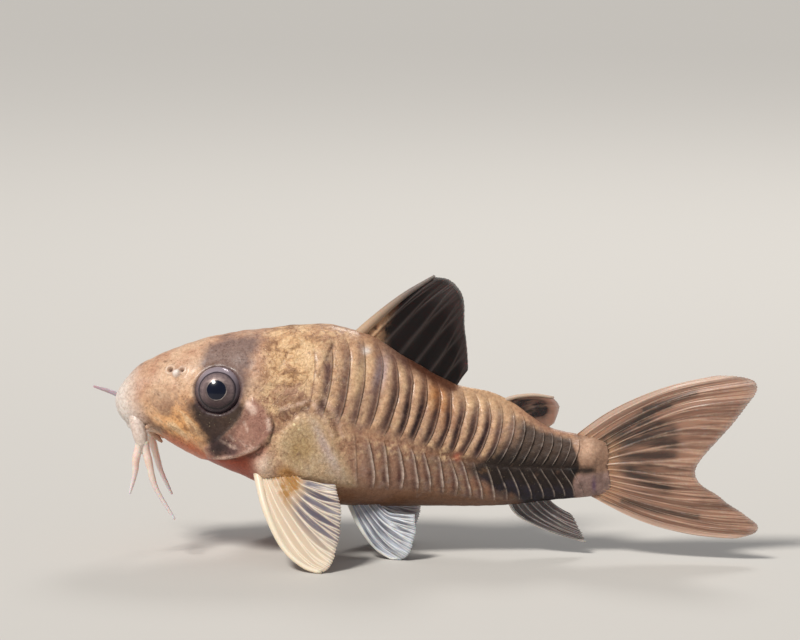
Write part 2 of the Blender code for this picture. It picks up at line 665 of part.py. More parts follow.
def rod(name, centre, axis, radius, depth, owner, sides=12):
    bpy.ops.mesh.primitive_cylinder_add(vertices=sides, radius=radius, depth=depth)
    obj = bpy.context.object
    obj.name = name
    turn = axis.to_track_quat("Z", "Y").to_matrix().to_4x4()
    obj.data.transform(Matrix.Translation(centre) @ turn)
    move_to(obj, owner, None)
    return obj


def move_to(obj, owner, look):
    for old in list(obj.users_collection):
        old.objects.unlink(obj)
    owner.objects.link(obj)
    if look is not None:
        obj.data.materials.append(look)


def mouth_arc(offset, lift, count):
    share = np.linspace(-1.0, 1.0, count)
    s = MOUTH_FRONT + offset + MOUTH_BACK_SWEEP * share**2
    return on_body(s, -90.0 + MOUTH_HALF_ARC * share, lift * np.ones(count))


def mouth_slit(owner):
    heights = (SLIT_OVERSHOOT, -SLIT_DEPTH)
    front = [mouth_arc(-SLIT_WIDTH / 2, height, MOUTH_POINTS) for height in heights]
    rear = [mouth_arc(SLIT_WIDTH / 2, height, MOUTH_POINTS) for height in heights]
    return new_object("slit", slab("slit", np.array(front), np.array(rear)), None, owner)


def soft_tube(name, points, radii, side, owner):
    """A tube through points given as distance from the snout, from the midline, and height."""
    line = [place(s * MM, side * left * MM, z * MM) for s, left, z in points]
    return tube(name, line, radii, owner)


def stem_end(side):
    s, left, z = CORNER_STEM[-1]
    return Vector(place(s * MM, side * left * MM, z * MM))


def dress_head(head, owner, cutters):
    pieces, cuts = [], [mouth_slit(cutters)]
    for offset, radius in ((-LIP_SPACING, LIP_RADIUS), (LIP_SPACING, LIP_RADIUS * REAR_LIP_SHARE)):
        taper = 1.0 - LIP_TAPER * np.abs(np.linspace(-1, 1, MOUTH_POINTS)) ** 3
        line = mouth_arc(offset, 0.0, MOUTH_POINTS)
        pieces.append(tube("lip", line, radius * taper, owner))
    for side in (LEFT, RIGHT):
        for sizes in (OPERCLE, CHEEK, SNOUT_PLATE):
            pieces.append(plate(sizes, side, owner))
        pieces.append(soft_tube("stem", CORNER_STEM, STEM_RADII, side, owner))
        pieces.append(soft_tube("flap", LIP_FLAP, FLAP_RADII, side, owner))
        centre, axis = eye_axis(side)
        inset, outset, thickness = EYE_RIM
        rim = centre + axis * (EYE_SUNK - inset)
        rim_radius = math.sqrt(EYE_RADIUS**2 - EYE_SUNK**2) + outset
        pieces.append(ring_round("rim", rim, axis, rim_radius, thickness, owner))
        cuts.append(ball("socket", centre, EYE_RADIUS + GAP, axis, cutters))
        for station, degrees, radius in NOSTRILS:
            where, outward = frame_at(station, degrees, side)
            pieces.append(ring_round("rim", where, outward, radius, NOSTRIL_RIM, owner, 10, 4))
            hole = radius * NOSTRIL_HOLE
            cuts.append(rod("hole", where, outward, hole, NOSTRIL_DRILL, cutters, 6))
    fuse(head, pieces)
    cut(head, cuts)


def ridge_plates(owner, start, end):
    """Small plates along the midline of the back, behind the dorsal fin."""
    made = []
    at = start
    while at + RIDGE_PITCH < end:
        line = [on_body(at + step, 90.0, lift) for step, lift in RIDGE_LINE]
        made.append(tube("ridge", line, RIDGE_RADII, owner))
        at += RIDGE_PITCH
    return made


def fin_grid(guides, rays, rows, between=1):
    """Rows of points across a fin, from guide rays: a column on each ray and between."""
    guides = np.array(guides, float) * MM
    lengths = np.array([curve_through(guide, rows) for guide in guides])
    columns = (rays - 1) * (between + 1) + 1
    grid = np.array([curve_through(lengths[:, i], columns) for i in range(rows)])
    return place(grid[..., 0], grid[..., 1], grid[..., 2])


def fin_sheet(name, grid, look, owner, between=1, thick=FIN_THICKNESS):
    """A fin: an open sheet made solid, thicker on the rays than between them."""
    rows, columns = grid.shape[:2]
    points = grid.reshape(-1, 3)
    faces = []
    for i in range(rows - 1):
        for j in range(columns - 1):
            a = i * columns + j
            b, c, d = a + 1, a + columns + 1, a + columns
            faces += [(a, b, c), (a, c, d)] if j % 2 else [(a, b, d), (b, c, d)]
    mesh = bpy.data.meshes.new(name)
    mesh.from_pydata([tuple(map(float, p)) for p in points], [], faces)
    obj = new_object(name, mesh, look, owner)
    group = obj.vertex_groups.new(name="thickness")
    for i in range(rows):
        for j in range(columns):
            ray = j % (between + 1) == 0
            margin = EDGE_SHARE + (1 - EDGE_SHARE) * (1 - (i / (rows - 1)) ** 2)
            share = (1.0 if ray else MEMBRANE_SHARE) * margin
            group.add([i * columns + j], float(share), "REPLACE")
    solid = obj.modifiers.new("solid", "SOLIDIFY")
    solid.thickness = thick
    solid.offset = 0.0
    solid.vertex_group = "thickness"
    settle(obj)
    return obj


def spine_tube(name, guide, owner, radii, count=9):
    line = curve_through(np.array(guide, float) * MM, count)
    line = place(line[:, 0], line[:, 1], line[:, 2])
    return tube(name, line, np.linspace(radii[0], radii[1], count), owner)


def turned_about(guides, degrees, centre):
    """Guide rays swung about an upright line."""
    c, s = math.cos(math.radians(degrees)), math.sin(math.radians(degrees))
    made = []
    for guide in guides:
        row = []
        for x, left, z in guide:
            dx, dl = x - centre[0], left - centre[1]
            row.append((centre[0] + c * dx - s * dl, centre[1] + s * dx + c * dl, z))
        made.append(row)
    return made


def on_side(guides, side):
    return [[(x, side * left, z) for x, left, z in guide] for guide in guides]


def envelope(name, owner, lift):
    """The body blown up by a gap, to cut the fins' roots with."""
    front, rear = ENVELOPE_STATIONS
    stations = np.concatenate([tapered(*front), tapered(*rear)])
    degrees = -90.0 + 360.0 * np.arange(ENVELOPE_AROUND) / ENVELOPE_AROUND
    rings = [on_body(station, degrees, lift) for station in stations[:-1]]
    end = np.mean(rings[-1], axis=0) + np.array([lift, 0, 0])
    start = place(0.0, 0.0, WIDEST(0.0)) - np.array([lift, 0.0, 0.0])
    obj = new_object(name, loft(name, rings, start, end), None, owner)
    return obj


def box_below(owner):
    bpy.ops.mesh.primitive_cube_add(size=1.0)
    obj = bpy.context.object
    obj.name = "below_the_ground"
    length, width, depth = GROUND_BLOCK
    obj.data.transform(Matrix.Diagonal((length, width, depth, 1)))
    obj.data.transform(Matrix.Translation((TAIL_BASE / 2, 0, -depth / 2)))
    move_to(obj, owner, None)
    return obj


def make_fins(owner, cutters):
    near = envelope("near_body", cutters, GAP)
    over_plates = envelope("over_plates", cutters, ENVELOPE_LIFT)
    ground = box_below(cutters)

    dorsal = fin_sheet("dorsal_fin", fin_grid(DORSAL, 8, 7), DARK_FIN, owner)
    fuse(dorsal, [spine_tube("spine", DORSAL[0], owner, SPINE_RADII["dorsal"])])
    cut(dorsal, [over_plates])

    adipose = fin_sheet("adipose_fin", fin_grid(ADIPOSE_FIN, 4, 6), ADIPOSE, owner)
    fuse(adipose, [spine_tube("spine", ADIPOSE_FIN[0], owner, SPINE_RADII["adipose"])])
    cut(adipose, [over_plates])

    grid = fin_grid(CAUDAL, 13, 7)
    middle = grid.shape[1] // 2
    upper, lower = grid[:, : middle + 1].copy(), grid[:, middle:].copy()
    upper[:, -1, 2] += LOBE_GAP / 2
    lower[:, 0, 2] -= LOBE_GAP / 2
    for name, part in (("upper_tail_fin", upper), ("lower_tail_fin", lower)):
        cut(fin_sheet(name, part, TAIL_FIN, owner), [over_plates])

    anal = fin_sheet("anal_fin", fin_grid(ANAL, 7, 7), WHITE_FIN, owner)
    cut(anal, [over_plates])

    for side, word in ((LEFT, "left"), (RIGHT, "right")):
        guides = PECTORAL
        if side == RIGHT:
            guides = turned_about(PECTORAL, PECTORAL_SWEEP, PECTORAL_HINGE)
        guides = on_side(guides, side)
        name = word + "_pectoral_fin"
        fin = fin_sheet(name, fin_grid(guides, 9, 8), WHITE_FIN, owner)
        fuse(fin, [spine_tube("spine", guides[0], owner, SPINE_RADII["pectoral"])])
        cut(fin, [over_plates, ground])

        guides = on_side(PELVIC, side)
        name = word + "_pelvic_fin"
        fin = fin_sheet(name, fin_grid(guides, 7, 6), BLUISH_FIN, owner)
        cut(fin, [near, ground])


def make_barbels(owner, cutters):
    near = envelope("body_for_barbels", cutters, GAP)
    for name, side, points in (
        ("left_front_barbel", LEFT, LEFT_FRONT_BARBEL),
        ("left_rear_barbel", LEFT, LEFT_REAR_BARBEL),
        ("right_front_barbel", RIGHT, RIGHT_FRONT_BARBEL),
        ("right_rear_barbel", RIGHT, RIGHT_REAR_BARBEL),
    ):
        count = 13
        line = curve_through(np.array(points) * MM, count)
        line = place(line[:, 0], side * line[:, 1], line[:, 2])
        radii = tapered(BARBEL_RADII[0], BARBEL_RADII[1], count)
        barbel = tube(name, line, radii, owner, BARBEL)
        radii = [radius + GAP for radius in STEM_RADII]
        stem = soft_tube("stem_space", CORNER_STEM, radii, side, cutters)
        end = ball("stem_end", stem_end(side), radii[-1], Vector((0, 0, 1)), cutters)
        cut(barbel, [near, stem, end])


def centre_on_origin(nodes):
    """Puts the middle of the whole model's box over the origin."""
    low = np.min([np.min([v.co for v in o.data.vertices], axis=0) for o in nodes], axis=0)
    high = np.max([np.max([v.co for v in o.data.vertices], axis=0) for o in nodes], axis=0)
    middle = (low + high) / 2
    for obj in nodes:
        obj.data.transform(Matrix.Translation((-middle[0], -middle[1], 0.0)))


def main():
    clear_scene()
    owner = collection("corydoras_catfish")
    cutters = collection("cutters")
    head, torso, tail = body_nodes(owner)
    dress_head(head, owner, cutters)
    shoulder = [plate(sizes, side, owner) for sizes in (SHOULDER, CORACOID)
                for side in (LEFT, RIGHT)]
    shoulder += [plate(sizes, LEFT, owner) for sizes in (NAPE, NUCHAL)]
    fuse(torso, shoulder + scutes_between(HEAD_END, TRUNK_END, owner)
         + ridge_plates(owner, RIDGE_START, TRUNK_END - GAP))
    fuse(tail, scutes_between(TRUNK_END, TAIL_ROOT_END, owner))
    for side, word in ((LEFT, "left"), (RIGHT, "right")):
        centre, axis = eye_axis(side)
        ball(word + "_eye", centre, EYE_RADIUS, axis, owner, EYE)
    make_fins(owner, cutters)
    make_barbels(owner, cutters)
    centre_on_origin(list(owner.objects))


main()
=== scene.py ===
import math
import random

import bpy
import numpy as np
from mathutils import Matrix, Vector


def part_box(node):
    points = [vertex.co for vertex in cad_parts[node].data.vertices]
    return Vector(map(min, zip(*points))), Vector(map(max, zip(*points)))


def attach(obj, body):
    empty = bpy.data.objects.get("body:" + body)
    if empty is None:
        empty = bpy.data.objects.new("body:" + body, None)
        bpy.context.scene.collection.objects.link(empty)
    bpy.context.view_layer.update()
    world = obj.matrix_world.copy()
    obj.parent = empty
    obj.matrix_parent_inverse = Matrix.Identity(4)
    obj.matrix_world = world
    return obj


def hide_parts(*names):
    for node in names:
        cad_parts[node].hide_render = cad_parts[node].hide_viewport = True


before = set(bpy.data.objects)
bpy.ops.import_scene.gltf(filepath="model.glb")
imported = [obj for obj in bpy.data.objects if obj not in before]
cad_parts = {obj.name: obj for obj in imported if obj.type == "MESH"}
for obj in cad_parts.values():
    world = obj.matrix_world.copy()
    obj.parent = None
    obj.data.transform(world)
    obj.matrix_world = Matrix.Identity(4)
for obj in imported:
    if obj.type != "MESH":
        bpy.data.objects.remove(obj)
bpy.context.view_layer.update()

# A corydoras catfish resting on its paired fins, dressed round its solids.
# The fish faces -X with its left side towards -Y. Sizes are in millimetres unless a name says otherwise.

mm = 0.001
print("frame loaded")


# Shared maths

def smoothStep(low, high, value):
    share = np.clip((np.asarray(value, float) - low) / (high - low), 0.0, 1.0)
    return share * share * (3.0 - 2.0 * share)


def bump(value, centre, width):
    return np.exp(-(((np.asarray(value, float) - centre) / width) ** 2))


def monotone(xs, ys):
    # a smooth curve through the points that never overshoots them
    xs, ys = np.asarray(xs, float), np.asarray(ys, float)
    steps = np.diff(xs)
    slopes = np.diff(ys) / steps
    tangents = np.zeros(len(xs))
    tangents[0], tangents[-1] = slopes[0], slopes[-1]
    for i in range(1, len(xs) - 1):
        if slopes[i - 1] * slopes[i] > 0:
            before, after = 2 * steps[i] + steps[i - 1], steps[i] + 2 * steps[i - 1]
            tangents[i] = (before + after) / (before / slopes[i - 1] + after / slopes[i])

    def value(x):
        x = np.clip(np.asarray(x, float), xs[0], xs[-1])
        i = np.clip(np.searchsorted(xs, x, side="right") - 1, 0, len(xs) - 2)
        t = (x - xs[i]) / steps[i]
        return (
            ys[i] * (1 + 2 * t) * (1 - t) ** 2
            + ys[i + 1] * t * t * (3 - 2 * t)
            + steps[i] * t * (1 - t) * (tangents[i] * (1 - t) - tangents[i + 1] * t)
        )

    return value


def curveOf(pairs):
    return monotone([p[0] for p in pairs], [p[1] for p in pairs])


def curveThrough(points, count):
    # a smooth curve through a few points, read at even steps
    p = np.asarray(points, float)
    p = np.vstack([2 * p[0] - p[1], p, 2 * p[-1] - p[-2]])
    at = np.linspace(0, len(points) - 1, count)
    i = np.minimum(at.astype(int), len(points) - 2)
    t = (at - i)[:, None]
    a, b, c, d = p[i], p[i + 1], p[i + 2], p[i + 3]
    return 0.5 * (
        2 * b + (c - a) * t + (2 * a - 5 * b + 4 * c - d) * t**2 + (3 * b - a - 3 * c + d) * t**3
    )


def ripple(x, y, seed, scale):
    # soft irregular waves between -1 and 1
    draw = random.Random(seed)
    total = 0.0
    for _ in range(7):
        turn = draw.uniform(0, 2 * math.pi)
        pitch = scale * draw.uniform(0.6, 1.7)
        total = total + np.sin((x * math.cos(turn) + y * math.sin(turn)) / pitch + draw.uniform(0, 7))
    return total / 3.6


# The body: one surface through a few stations, as in the solids
body = {
    # distance from the snout, heights of back, belly and widest line, half width, roundness above and below
    "stations": (
        (0.0, 14.1, 10.3, 12.4, 2.30, 2.1, 2.2),
        (2.8, 15.7, 9.90, 11.9, 3.00, 2.1, 2.3),
        (5.4, 16.8, 8.50, 11.3, 3.95, 2.1, 2.4),
        (8.5, 17.7, 7.00, 10.6, 4.80, 2.0, 2.6),
        (12.0, 18.2, 5.75, 9.8, 5.30, 2.0, 2.8),
        (16.0, 18.5, 4.20, 9.2, 5.20, 2.0, 2.8),
        (19.8, 18.0, 3.90, 8.9, 4.60, 1.9, 2.8),
        (23.5, 15.9, 3.80, 8.4, 3.70, 1.8, 2.6),
        (28.0, 13.55, 3.80, 7.6, 2.65, 1.7, 2.4),
        (30.2, 13.0, 3.85, 7.25, 2.30, 1.6, 2.3),
        (32.0, 12.3, 4.00, 7.0, 2.00, 1.6, 2.2),
        (35.5, 10.3, 4.50, 6.9, 1.45, 2.0, 2.1),
        (38.7, 9.7, 4.90, 7.1, 0.95, 2.0, 2.0),
        (39.7, 9.35, 5.15, 7.2, 0.62, 2.1, 2.1),
        (40.4, 8.5, 5.90, 7.2, 0.45, 2.2, 2.2),
    ),
    "noseRounding": 2.2,
    "gillOpening": 12.6,
    "tailRootEnd": 39.7,
    "rootThins": 37.8,
    "bendStart": 20.0,
    "bendEnd": 34.0,
    "bendDegrees": 11.0,
    "lateralAngles": ((15.0, 14.0), (22.5, 10.0), (28.0, 8.0), (39.0, 8.0)),
    "upperAngles": ((15.0, 66.0), (20.0, 76.0), (30.0, 76.0), (39.0, 70.0)),
    "lowerAngles": ((18.0, -26.0), (24.0, -32.0), (33.0, -56.0), (39.0, -64.0)),
    # how far the plates' edges lean back from the lateral line, and how high up they lean most
    "upperLeans": ((12.6, 0.0), (15.0, 0.9), (20.0, 1.05), (23.0, 1.25), (27.0, 1.15), (31.0, 1.3),
                   (34.0, 1.0),
                   (37.0, 0.65), (39.7, 0.3)),
    "lowerLeans": ((12.6, 0.0), (16.0, 0.2), (20.0, 0.35), (25.0, 0.5), (31.0, 0.75), (35.0, 1.05),
                   (38.0, 0.9),
                   (39.7, 0.5)),
    "leanCrook": 0.62,
    "firstPlate": 15.3,
    "firstLowerPlate": 19.4,
    "lastPlate": 37.4,
    "plateLengths": (1.36, 0.74),
    "eyeStation": 8.42,
    "eyeAngle": 28.0,
    "eyeRadius": 2.15,
    "eyeSunk": 1.2,
    "eyeTiltUp": 14.0,
    "eyeTiltForward": 6.0,
}

stationPlaces = [row[0] for row in body["stations"]]
backLine, bellyLine, widestLine, halfWidth, upperRound, lowerRound = (
    monotone(stationPlaces, [row[k] for row in body["stations"]]) for k in range(1, 7)
)
lateralAngle, upperAngle, lowerAngle, upperLean, lowerLean = (
    curveOf(body[name])
    for name in ("lateralAngles", "upperAngles", "lowerAngles", "upperLeans", "lowerLeans")
)
shift = np.zeros(3)  # from the snout's frame to the solids' frame, in millimetres


def place(s, left, z):
    # points from distance along the body, distance to the fish's left, and height
    s = np.asarray(s, float)
    knots = np.linspace(-4, 56, 241)
    heading = -math.radians(body["bendDegrees"]) * smoothStep(body["bendStart"], body["bendEnd"], knots)
    step = knots[1] - knots[0]
    middle = (heading[1:] + heading[:-1]) / 2
    x = np.interp(s, knots, knots[0] + np.concatenate([[0], np.cumsum(np.cos(middle))]) * step)
    y = np.interp(s, knots, np.concatenate([[0], np.cumsum(np.sin(middle))]) * step)
    turn = np.interp(s, knots, heading)
    left = np.asarray(left, float)
    made = (x + left * np.sin(turn), y - left * np.cos(turn), z + 0 * x)
    return np.stack(np.broadcast_arrays(*made), axis=-1) + shift


def bodyPoints(s, degrees):
    # 0 degrees is the left flank, 90 the back, -90 the belly
    s = np.clip(np.asarray(s, float), 0.0, stationPlaces[-1])
    s, degrees = np.broadcast_arrays(s, np.asarray(degrees, float))
    a = np.radians(degrees)
    nose = np.sqrt(1.0 - (1.0 - np.minimum(s / body["noseRounding"], 1.0)) ** 2)
    up = np.sin(a) >= 0
    power = 2.0 / np.where(up, upperRound(s), lowerRound(s))
    past = np.maximum(s - body["rootThins"], 0.0) / (body["tailRootEnd"] + 0.05 - body["rootThins"])
    thin = np.sqrt(np.clip(1.0 - past**2, 0.10, 1.0))  # the root of the tail rounds off into the fin
    left = np.sign(np.cos(a)) * halfWidth(s) * np.abs(np.cos(a)) ** power * nose * thin
    middle = widestLine(s)
    reach = np.where(up, backLine(s), bellyLine(s)) - middle
    return place(s, left, middle + reach * np.abs(np.sin(a)) ** power * nose)


def bodyNormals(s, degrees):
    along = bodyPoints(s + 0.05, degrees) - bodyPoints(s - 0.05, degrees)
    roundIt = bodyPoints(s, degrees + 0.5) - bodyPoints(s, degrees - 0.5)
    normal = np.cross(along, roundIt)
    return normal / np.maximum(np.linalg.norm(normal, axis=-1, keepdims=True), 1e-9)


def folded(degrees):
    a = (np.asarray(degrees, float) + 90.0) % 360.0 - 90.0
    return np.where(a > 90.0, 180.0 - a, a)


def slanted(station, degrees):
    # where the line of plate edges that crosses the flank at a station lies, for an angle
    station, a = np.broadcast_arrays(np.asarray(station, float), folded(degrees))
    lateral = lateralAngle(station)
    upper = np.clip((a - lateral) / (upperAngle(station) - lateral), 0.0, 1.0)
    lower = np.clip((lateral - a) / (lateral - lowerAngle(station)), 0.0, 1.0)
    lean = upperLean(station) * (1 - (1 - upper / body["leanCrook"]) ** 2)
    lean = lean + lowerLean(station) * (1 - (1 - lower) ** 1.8)
    gill = 0.5 * bump(a, -8.0, 32.0) * bump(station, body["gillOpening"], 2.5)
    return station + lean + gill


def plateSeams():
    seams = [body["firstPlate"]]
    first, last = body["plateLengths"]
    while seams[-1] < body["lastPlate"]:
        share = (seams[-1] - body["firstPlate"]) / (body["lastPlate"] - body["firstPlate"])
        seams.append(seams[-1] + first + (last - first) * share)
    return np.array(seams)


def eyeAxis(side):
    # centre of the eyeball and the way it looks; side is 1 on the left and -1 on the right
    degrees = body["eyeAngle"] if side == 1 else 180.0 - body["eyeAngle"]
    where = bodyPoints(body["eyeStation"], degrees)
    outward = bodyNormals(np.array(body["eyeStation"]), degrees)
    up, forward = math.radians(body["eyeTiltUp"]), math.radians(body["eyeTiltForward"])
    level = math.cos(up)
    axis = np.array([-math.sin(forward) * level, -side * math.cos(forward) * level, math.sin(up)])
    return where - outward * body["eyeSunk"], axis


lowCorner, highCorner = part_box("left_eye")
shift = (np.array(lowCorner) + np.array(highCorner)) / 2 / mm - eyeAxis(1)[0]


# Meshes from grids of points

def meshObject(name, points, faces, uvs):
    mesh = bpy.data.meshes.new(name)
    mesh.from_pydata((np.asarray(points) * mm).tolist(), [], faces)
    layer = mesh.uv_layers.new(name="OFBake")
    layer.data.foreach_set("uv", np.asarray(uvs, dtype=np.float32).ravel())
    mesh.polygons.foreach_set("use_smooth", [True] * len(mesh.polygons))
    mesh.update()
    obj = bpy.data.objects.new(name, mesh)
    bpy.context.scene.collection.objects.link(obj)
    return obj


def addMask(obj, name, values):
    layer = obj.data.attributes.new(name, "FLOAT", "POINT")
    layer.data.foreach_set("value", np.asarray(values, dtype=np.float32).ravel())


def wrappedGrid(name, rings, tips):
    # a closed skin through rings, with a point at each end; the UV map unrolls it
    count, around = rings.shape[:2]
    points = np.vstack([rings.reshape(-1, 3), tips])
    faces, uvs = [], []
    for i in range(count - 1):
        low, high = (i + 0.5) / count, (i + 1.5) / count
        for j in range(around):
            k = (j + 1) % around
            faces.append((i * around + j, (i + 1) * around + j, (i + 1) * around + k, i * around + k))
            uvs += [(j / around, low), (j / around, high), ((j + 1) / around, high), ((j + 1) / around, low)]
    last, first, end = (count - 1) * around, count * around, count * around + 1
    for j in range(around):
        k = (j + 1) % around
        faces.append((j, k, first))
        uvs += [(j / around, 0.5 / count), ((j + 1) / around, 0.5 / count), ((j + 0.5) / around, 0.0)]
        faces.append((last + k, last + j, end))
        edge = (count - 0.5) / count
        uvs += [((j + 1) / around, edge), (j / around, edge), ((j + 0.5) / around, 1.0)]
    return meshObject(name, points, faces, uvs)


def sheetSolid(name, grid, thickness):
    # a thin closed sheet round a grid of points, as thick at each point as told
    rows, columns = grid.shape[:2]
    down = np.gradient(grid, axis=0)
    across = np.gradient(grid, axis=1)
    normal = np.cross(down, across)
    normal /= np.maximum(np.linalg.norm(normal, axis=-1, keepdims=True), 1e-9)
    offset = normal * thickness[..., None] / 2
    size = rows * columns
    points = np.vstack([(grid + offset).reshape(-1, 3), (grid - offset).reshape(-1, 3)])
    faces, uvs = [], []

    def uvOf(index, half):
        i, j = divmod(index, columns)
        return (j / (columns - 1) * 0.48 + 0.5 * half + 0.01, i / (rows - 1) * 0.98 + 0.01)

    for i in range(rows - 1):
        for j in range(columns - 1):
            a = i * columns + j
            loop = (a, a + columns, a + columns + 1, a + 1)
            faces.append(loop)
            uvs += [uvOf(v, 0) for v in loop]
            loop = loop[::-1]
            faces.append(tuple(v + size for v in loop))
            uvs += [uvOf(v, 1) for v in loop]
    edge = list(range(columns - 1))
    edge += [i * columns + columns - 1 for i in range(rows - 1)]
    edge += [(rows - 1) * columns + j for j in range(columns - 1, 0, -1)]
    edge += [i * columns for i in range(rows - 1, 0, -1)]
    for a, b in zip(edge, edge[1:] + edge[:1]):
        faces.append((a, b, b + size, a + size))
        uvs += [uvOf(a, 0), uvOf(b, 0), uvOf(b, 0), uvOf(a, 0)]
    return meshObject(name, points, faces, uvs)


def tube(name, line, radii, sides=14):
    # a tapered round piece along a line of points, closed by a point at each end
    line = np.asarray(line, float)
    heading = np.gradient(line, axis=0)
    heading /= np.linalg.norm(heading, axis=1, keepdims=True)
    aside = np.cross(heading, np.array([0.31, 0.17, 0.93]))
    aside /= np.linalg.norm(aside, axis=1, keepdims=True)
    upward = np.cross(heading, aside)
    turn = 2 * math.pi * np.arange(sides) / sides
    radii = np.asarray(radii, float)[:, None, None]
    rings = line[:, None] + radii * (
        np.cos(turn)[None, :, None] * aside[:, None] + np.sin(turn)[None, :, None] * upward[:, None]
    )
    return wrappedGrid(name, rings, np.vstack([line[0] - heading[0] * 0.02, line[-1] + heading[-1] * 0.05]))


def join(name, objs):
    # one object from several
    keeper = objs[0]
    with bpy.context.temp_override(active_object=keeper, selected_editable_objects=objs, object=keeper):
        bpy.ops.object.join()
    keeper.name = name
    return keeper


# Shader node groups and material helpers

def newGroup(name, inputs, outputs):
    group = bpy.data.node_groups.new(name, "ShaderNodeTree")
    for label, kind, value in inputs:
        socket = group.interface.new_socket(label, in_out="INPUT", socket_type=kind)
        socket.default_value = value
    for label, kind in outputs:
        group.interface.new_socket(label, in_out="OUTPUT", socket_type=kind)
    return group, group.nodes.new("NodeGroupInput"), group.nodes.new("NodeGroupOutput")


def addNode(tree, kind, **settings):
    node = tree.nodes.new(kind)
    for key, value in settings.items():
        setattr(node, key, value)
    return node


def feed(tree, value, socket):
    # links a socket, or sets a plain value
    if isinstance(value, bpy.types.NodeSocket):
        tree.links.new(value, socket)
    elif isinstance(value, (tuple, list)) and len(value) == 3 and socket.type == "RGBA":
        socket.default_value = (*value, 1.0)
    else:
        socket.default_value = value


def calc(tree, operation, a, b=0.0, c=None, clamp=False):
    node = addNode(tree, "ShaderNodeMath", operation=operation, use_clamp=clamp)
    feed(tree, a, node.inputs[0])
    feed(tree, b, node.inputs[1])
    if c is not None:
        feed(tree, c, node.inputs[2])
    return node.outputs[0]


def times(tree, *values):
    # the product of several values
    total = values[0]
    for value in values[1:]:
        total = calc(tree, "MULTIPLY", total, value)
    return total


def mix(tree, under, over, factor, blend="MIX"):
    node = addNode(tree, "ShaderNodeMix", data_type="RGBA", blend_type=blend, clamp_factor=True)
    feed(tree, factor, node.inputs[0])
    feed(tree, under, node.inputs[6])
    feed(tree, over, node.inputs[7])
    return node.outputs[2]


def spread(tree, value, low, high, outLow=0.0, outHigh=1.0):
    # stretches a range onto another, clamped
    node = addNode(tree, "ShaderNodeMapRange", clamp=True)
    for socket, number in zip(node.inputs[:5], (value, low, high, outLow, outHigh)):
        feed(tree, number, socket)
    return node.outputs[0]


def ramp(tree, value, stops):
    # the colour that a value picks from a row of them
    node = addNode(tree, "ShaderNodeValToRGB")
    feed(tree, value, node.inputs["Fac"])
    for element, (position, colour) in zip(node.color_ramp.elements, (stops[0], stops[-1])):
        element.position, element.color = position, (*colour, 1)
    for position, colour in stops[1:-1]:
        node.color_ramp.elements.new(position).color = (*colour, 1)
    return node.outputs["Color"]


def mask(tree, name):
    return addNode(tree, "ShaderNodeAttribute", attribute_name=name).outputs["Fac"]


def noise(tree, scale, detail=3.0, roughness=0.55, distortion=0.0, vector=None):
    node = addNode(tree, "ShaderNodeTexNoise")
    if vector is None:
        vector = addNode(tree, "ShaderNodeTexCoord").outputs["Object"]
    tree.links.new(vector, node.inputs["Vector"])
    feed(tree, scale, node.inputs["Scale"])
    for label, value in (("Detail", detail), ("Roughness", roughness), ("Distortion", distortion)):
        node.inputs[label].default_value = value
    return node.outputs["Fac"]


def cells(tree, scale, feature="F1", vector=None):
    node = addNode(tree, "ShaderNodeTexVoronoi", feature=feature)
    if vector is None:
        vector = addNode(tree, "ShaderNodeTexCoord").outputs["Object"]
    tree.links.new(vector, node.inputs["Vector"])
    feed(tree, scale, node.inputs["Scale"])
    return node.outputs["Distance"]


def speckleGroup():
    # pigment dots and bright flecks of different sizes, and the fine grain that goes with them
    group, start, end = newGroup(
        "pigmentSpeckle",
        (("Pitch", "NodeSocketFloat", 5200.0), ("Dots", "NodeSocketFloat", 0.5),
         ("Flecks", "NodeSocketFloat", 0.3)),
        (("Dot", "NodeSocketFloat"), ("Fleck", "NodeSocketFloat"), ("Grain", "NodeSocketFloat")),
    )
    pitch = start.outputs["Pitch"]
    patchy = spread(group, noise(group, times(group, pitch, 0.12), 3.0), 0.40, 0.62)
    small = spread(group, cells(group, pitch), 0.36, 0.16)
    large = spread(group, cells(group, times(group, pitch, 0.45)), 0.26, 0.14)
    dots = calc(group, "MAXIMUM", times(group, small, 0.8), large)
    dots = times(group, dots, calc(group, "MULTIPLY_ADD", patchy, 0.8, 0.2))
    flecks = spread(group, cells(group, times(group, pitch, 0.8)), 0.24, 0.08)
    shine = spread(group, noise(group, times(group, pitch, 0.3), 2.0), 0.5, 0.66)
    grain = noise(group, times(group, pitch, 0.7), 4.0, 0.65)
    feed(group, times(group, dots, start.outputs["Dots"]), end.inputs["Dot"])
    feed(group, times(group, flecks, shine, start.outputs["Flecks"]), end.inputs["Fleck"])
    feed(group, grain, end.inputs["Grain"])
    return group


def sheenGroup():
    # painted sheen: patches of pale blue, green and violet light on wet skin and fin
    group, start, end = newGroup(
        "wetSheen",
        (("Pitch", "NodeSocketFloat", 600.0), ("Amount", "NodeSocketFloat", 0.3)),
        (("Colour", "NodeSocketColor"), ("Amount", "NodeSocketFloat")),
    )
    pitch = start.outputs["Pitch"]
    stops = ((0.30, (0.60, 0.56, 0.72)), (0.42, (0.56, 0.66, 0.68)), (0.52, (0.66, 0.68, 0.44)),
             (0.64, (0.74, 0.62, 0.52)))
    patchy = spread(group, noise(group, times(group, pitch, 1.7), 3.0), 0.42, 0.64)
    feed(group, ramp(group, noise(group, pitch, 2.0, 0.5, 0.6), stops), end.inputs["Colour"])
    feed(group, times(group, patchy, start.outputs["Amount"]), end.inputs["Amount"])
    return group


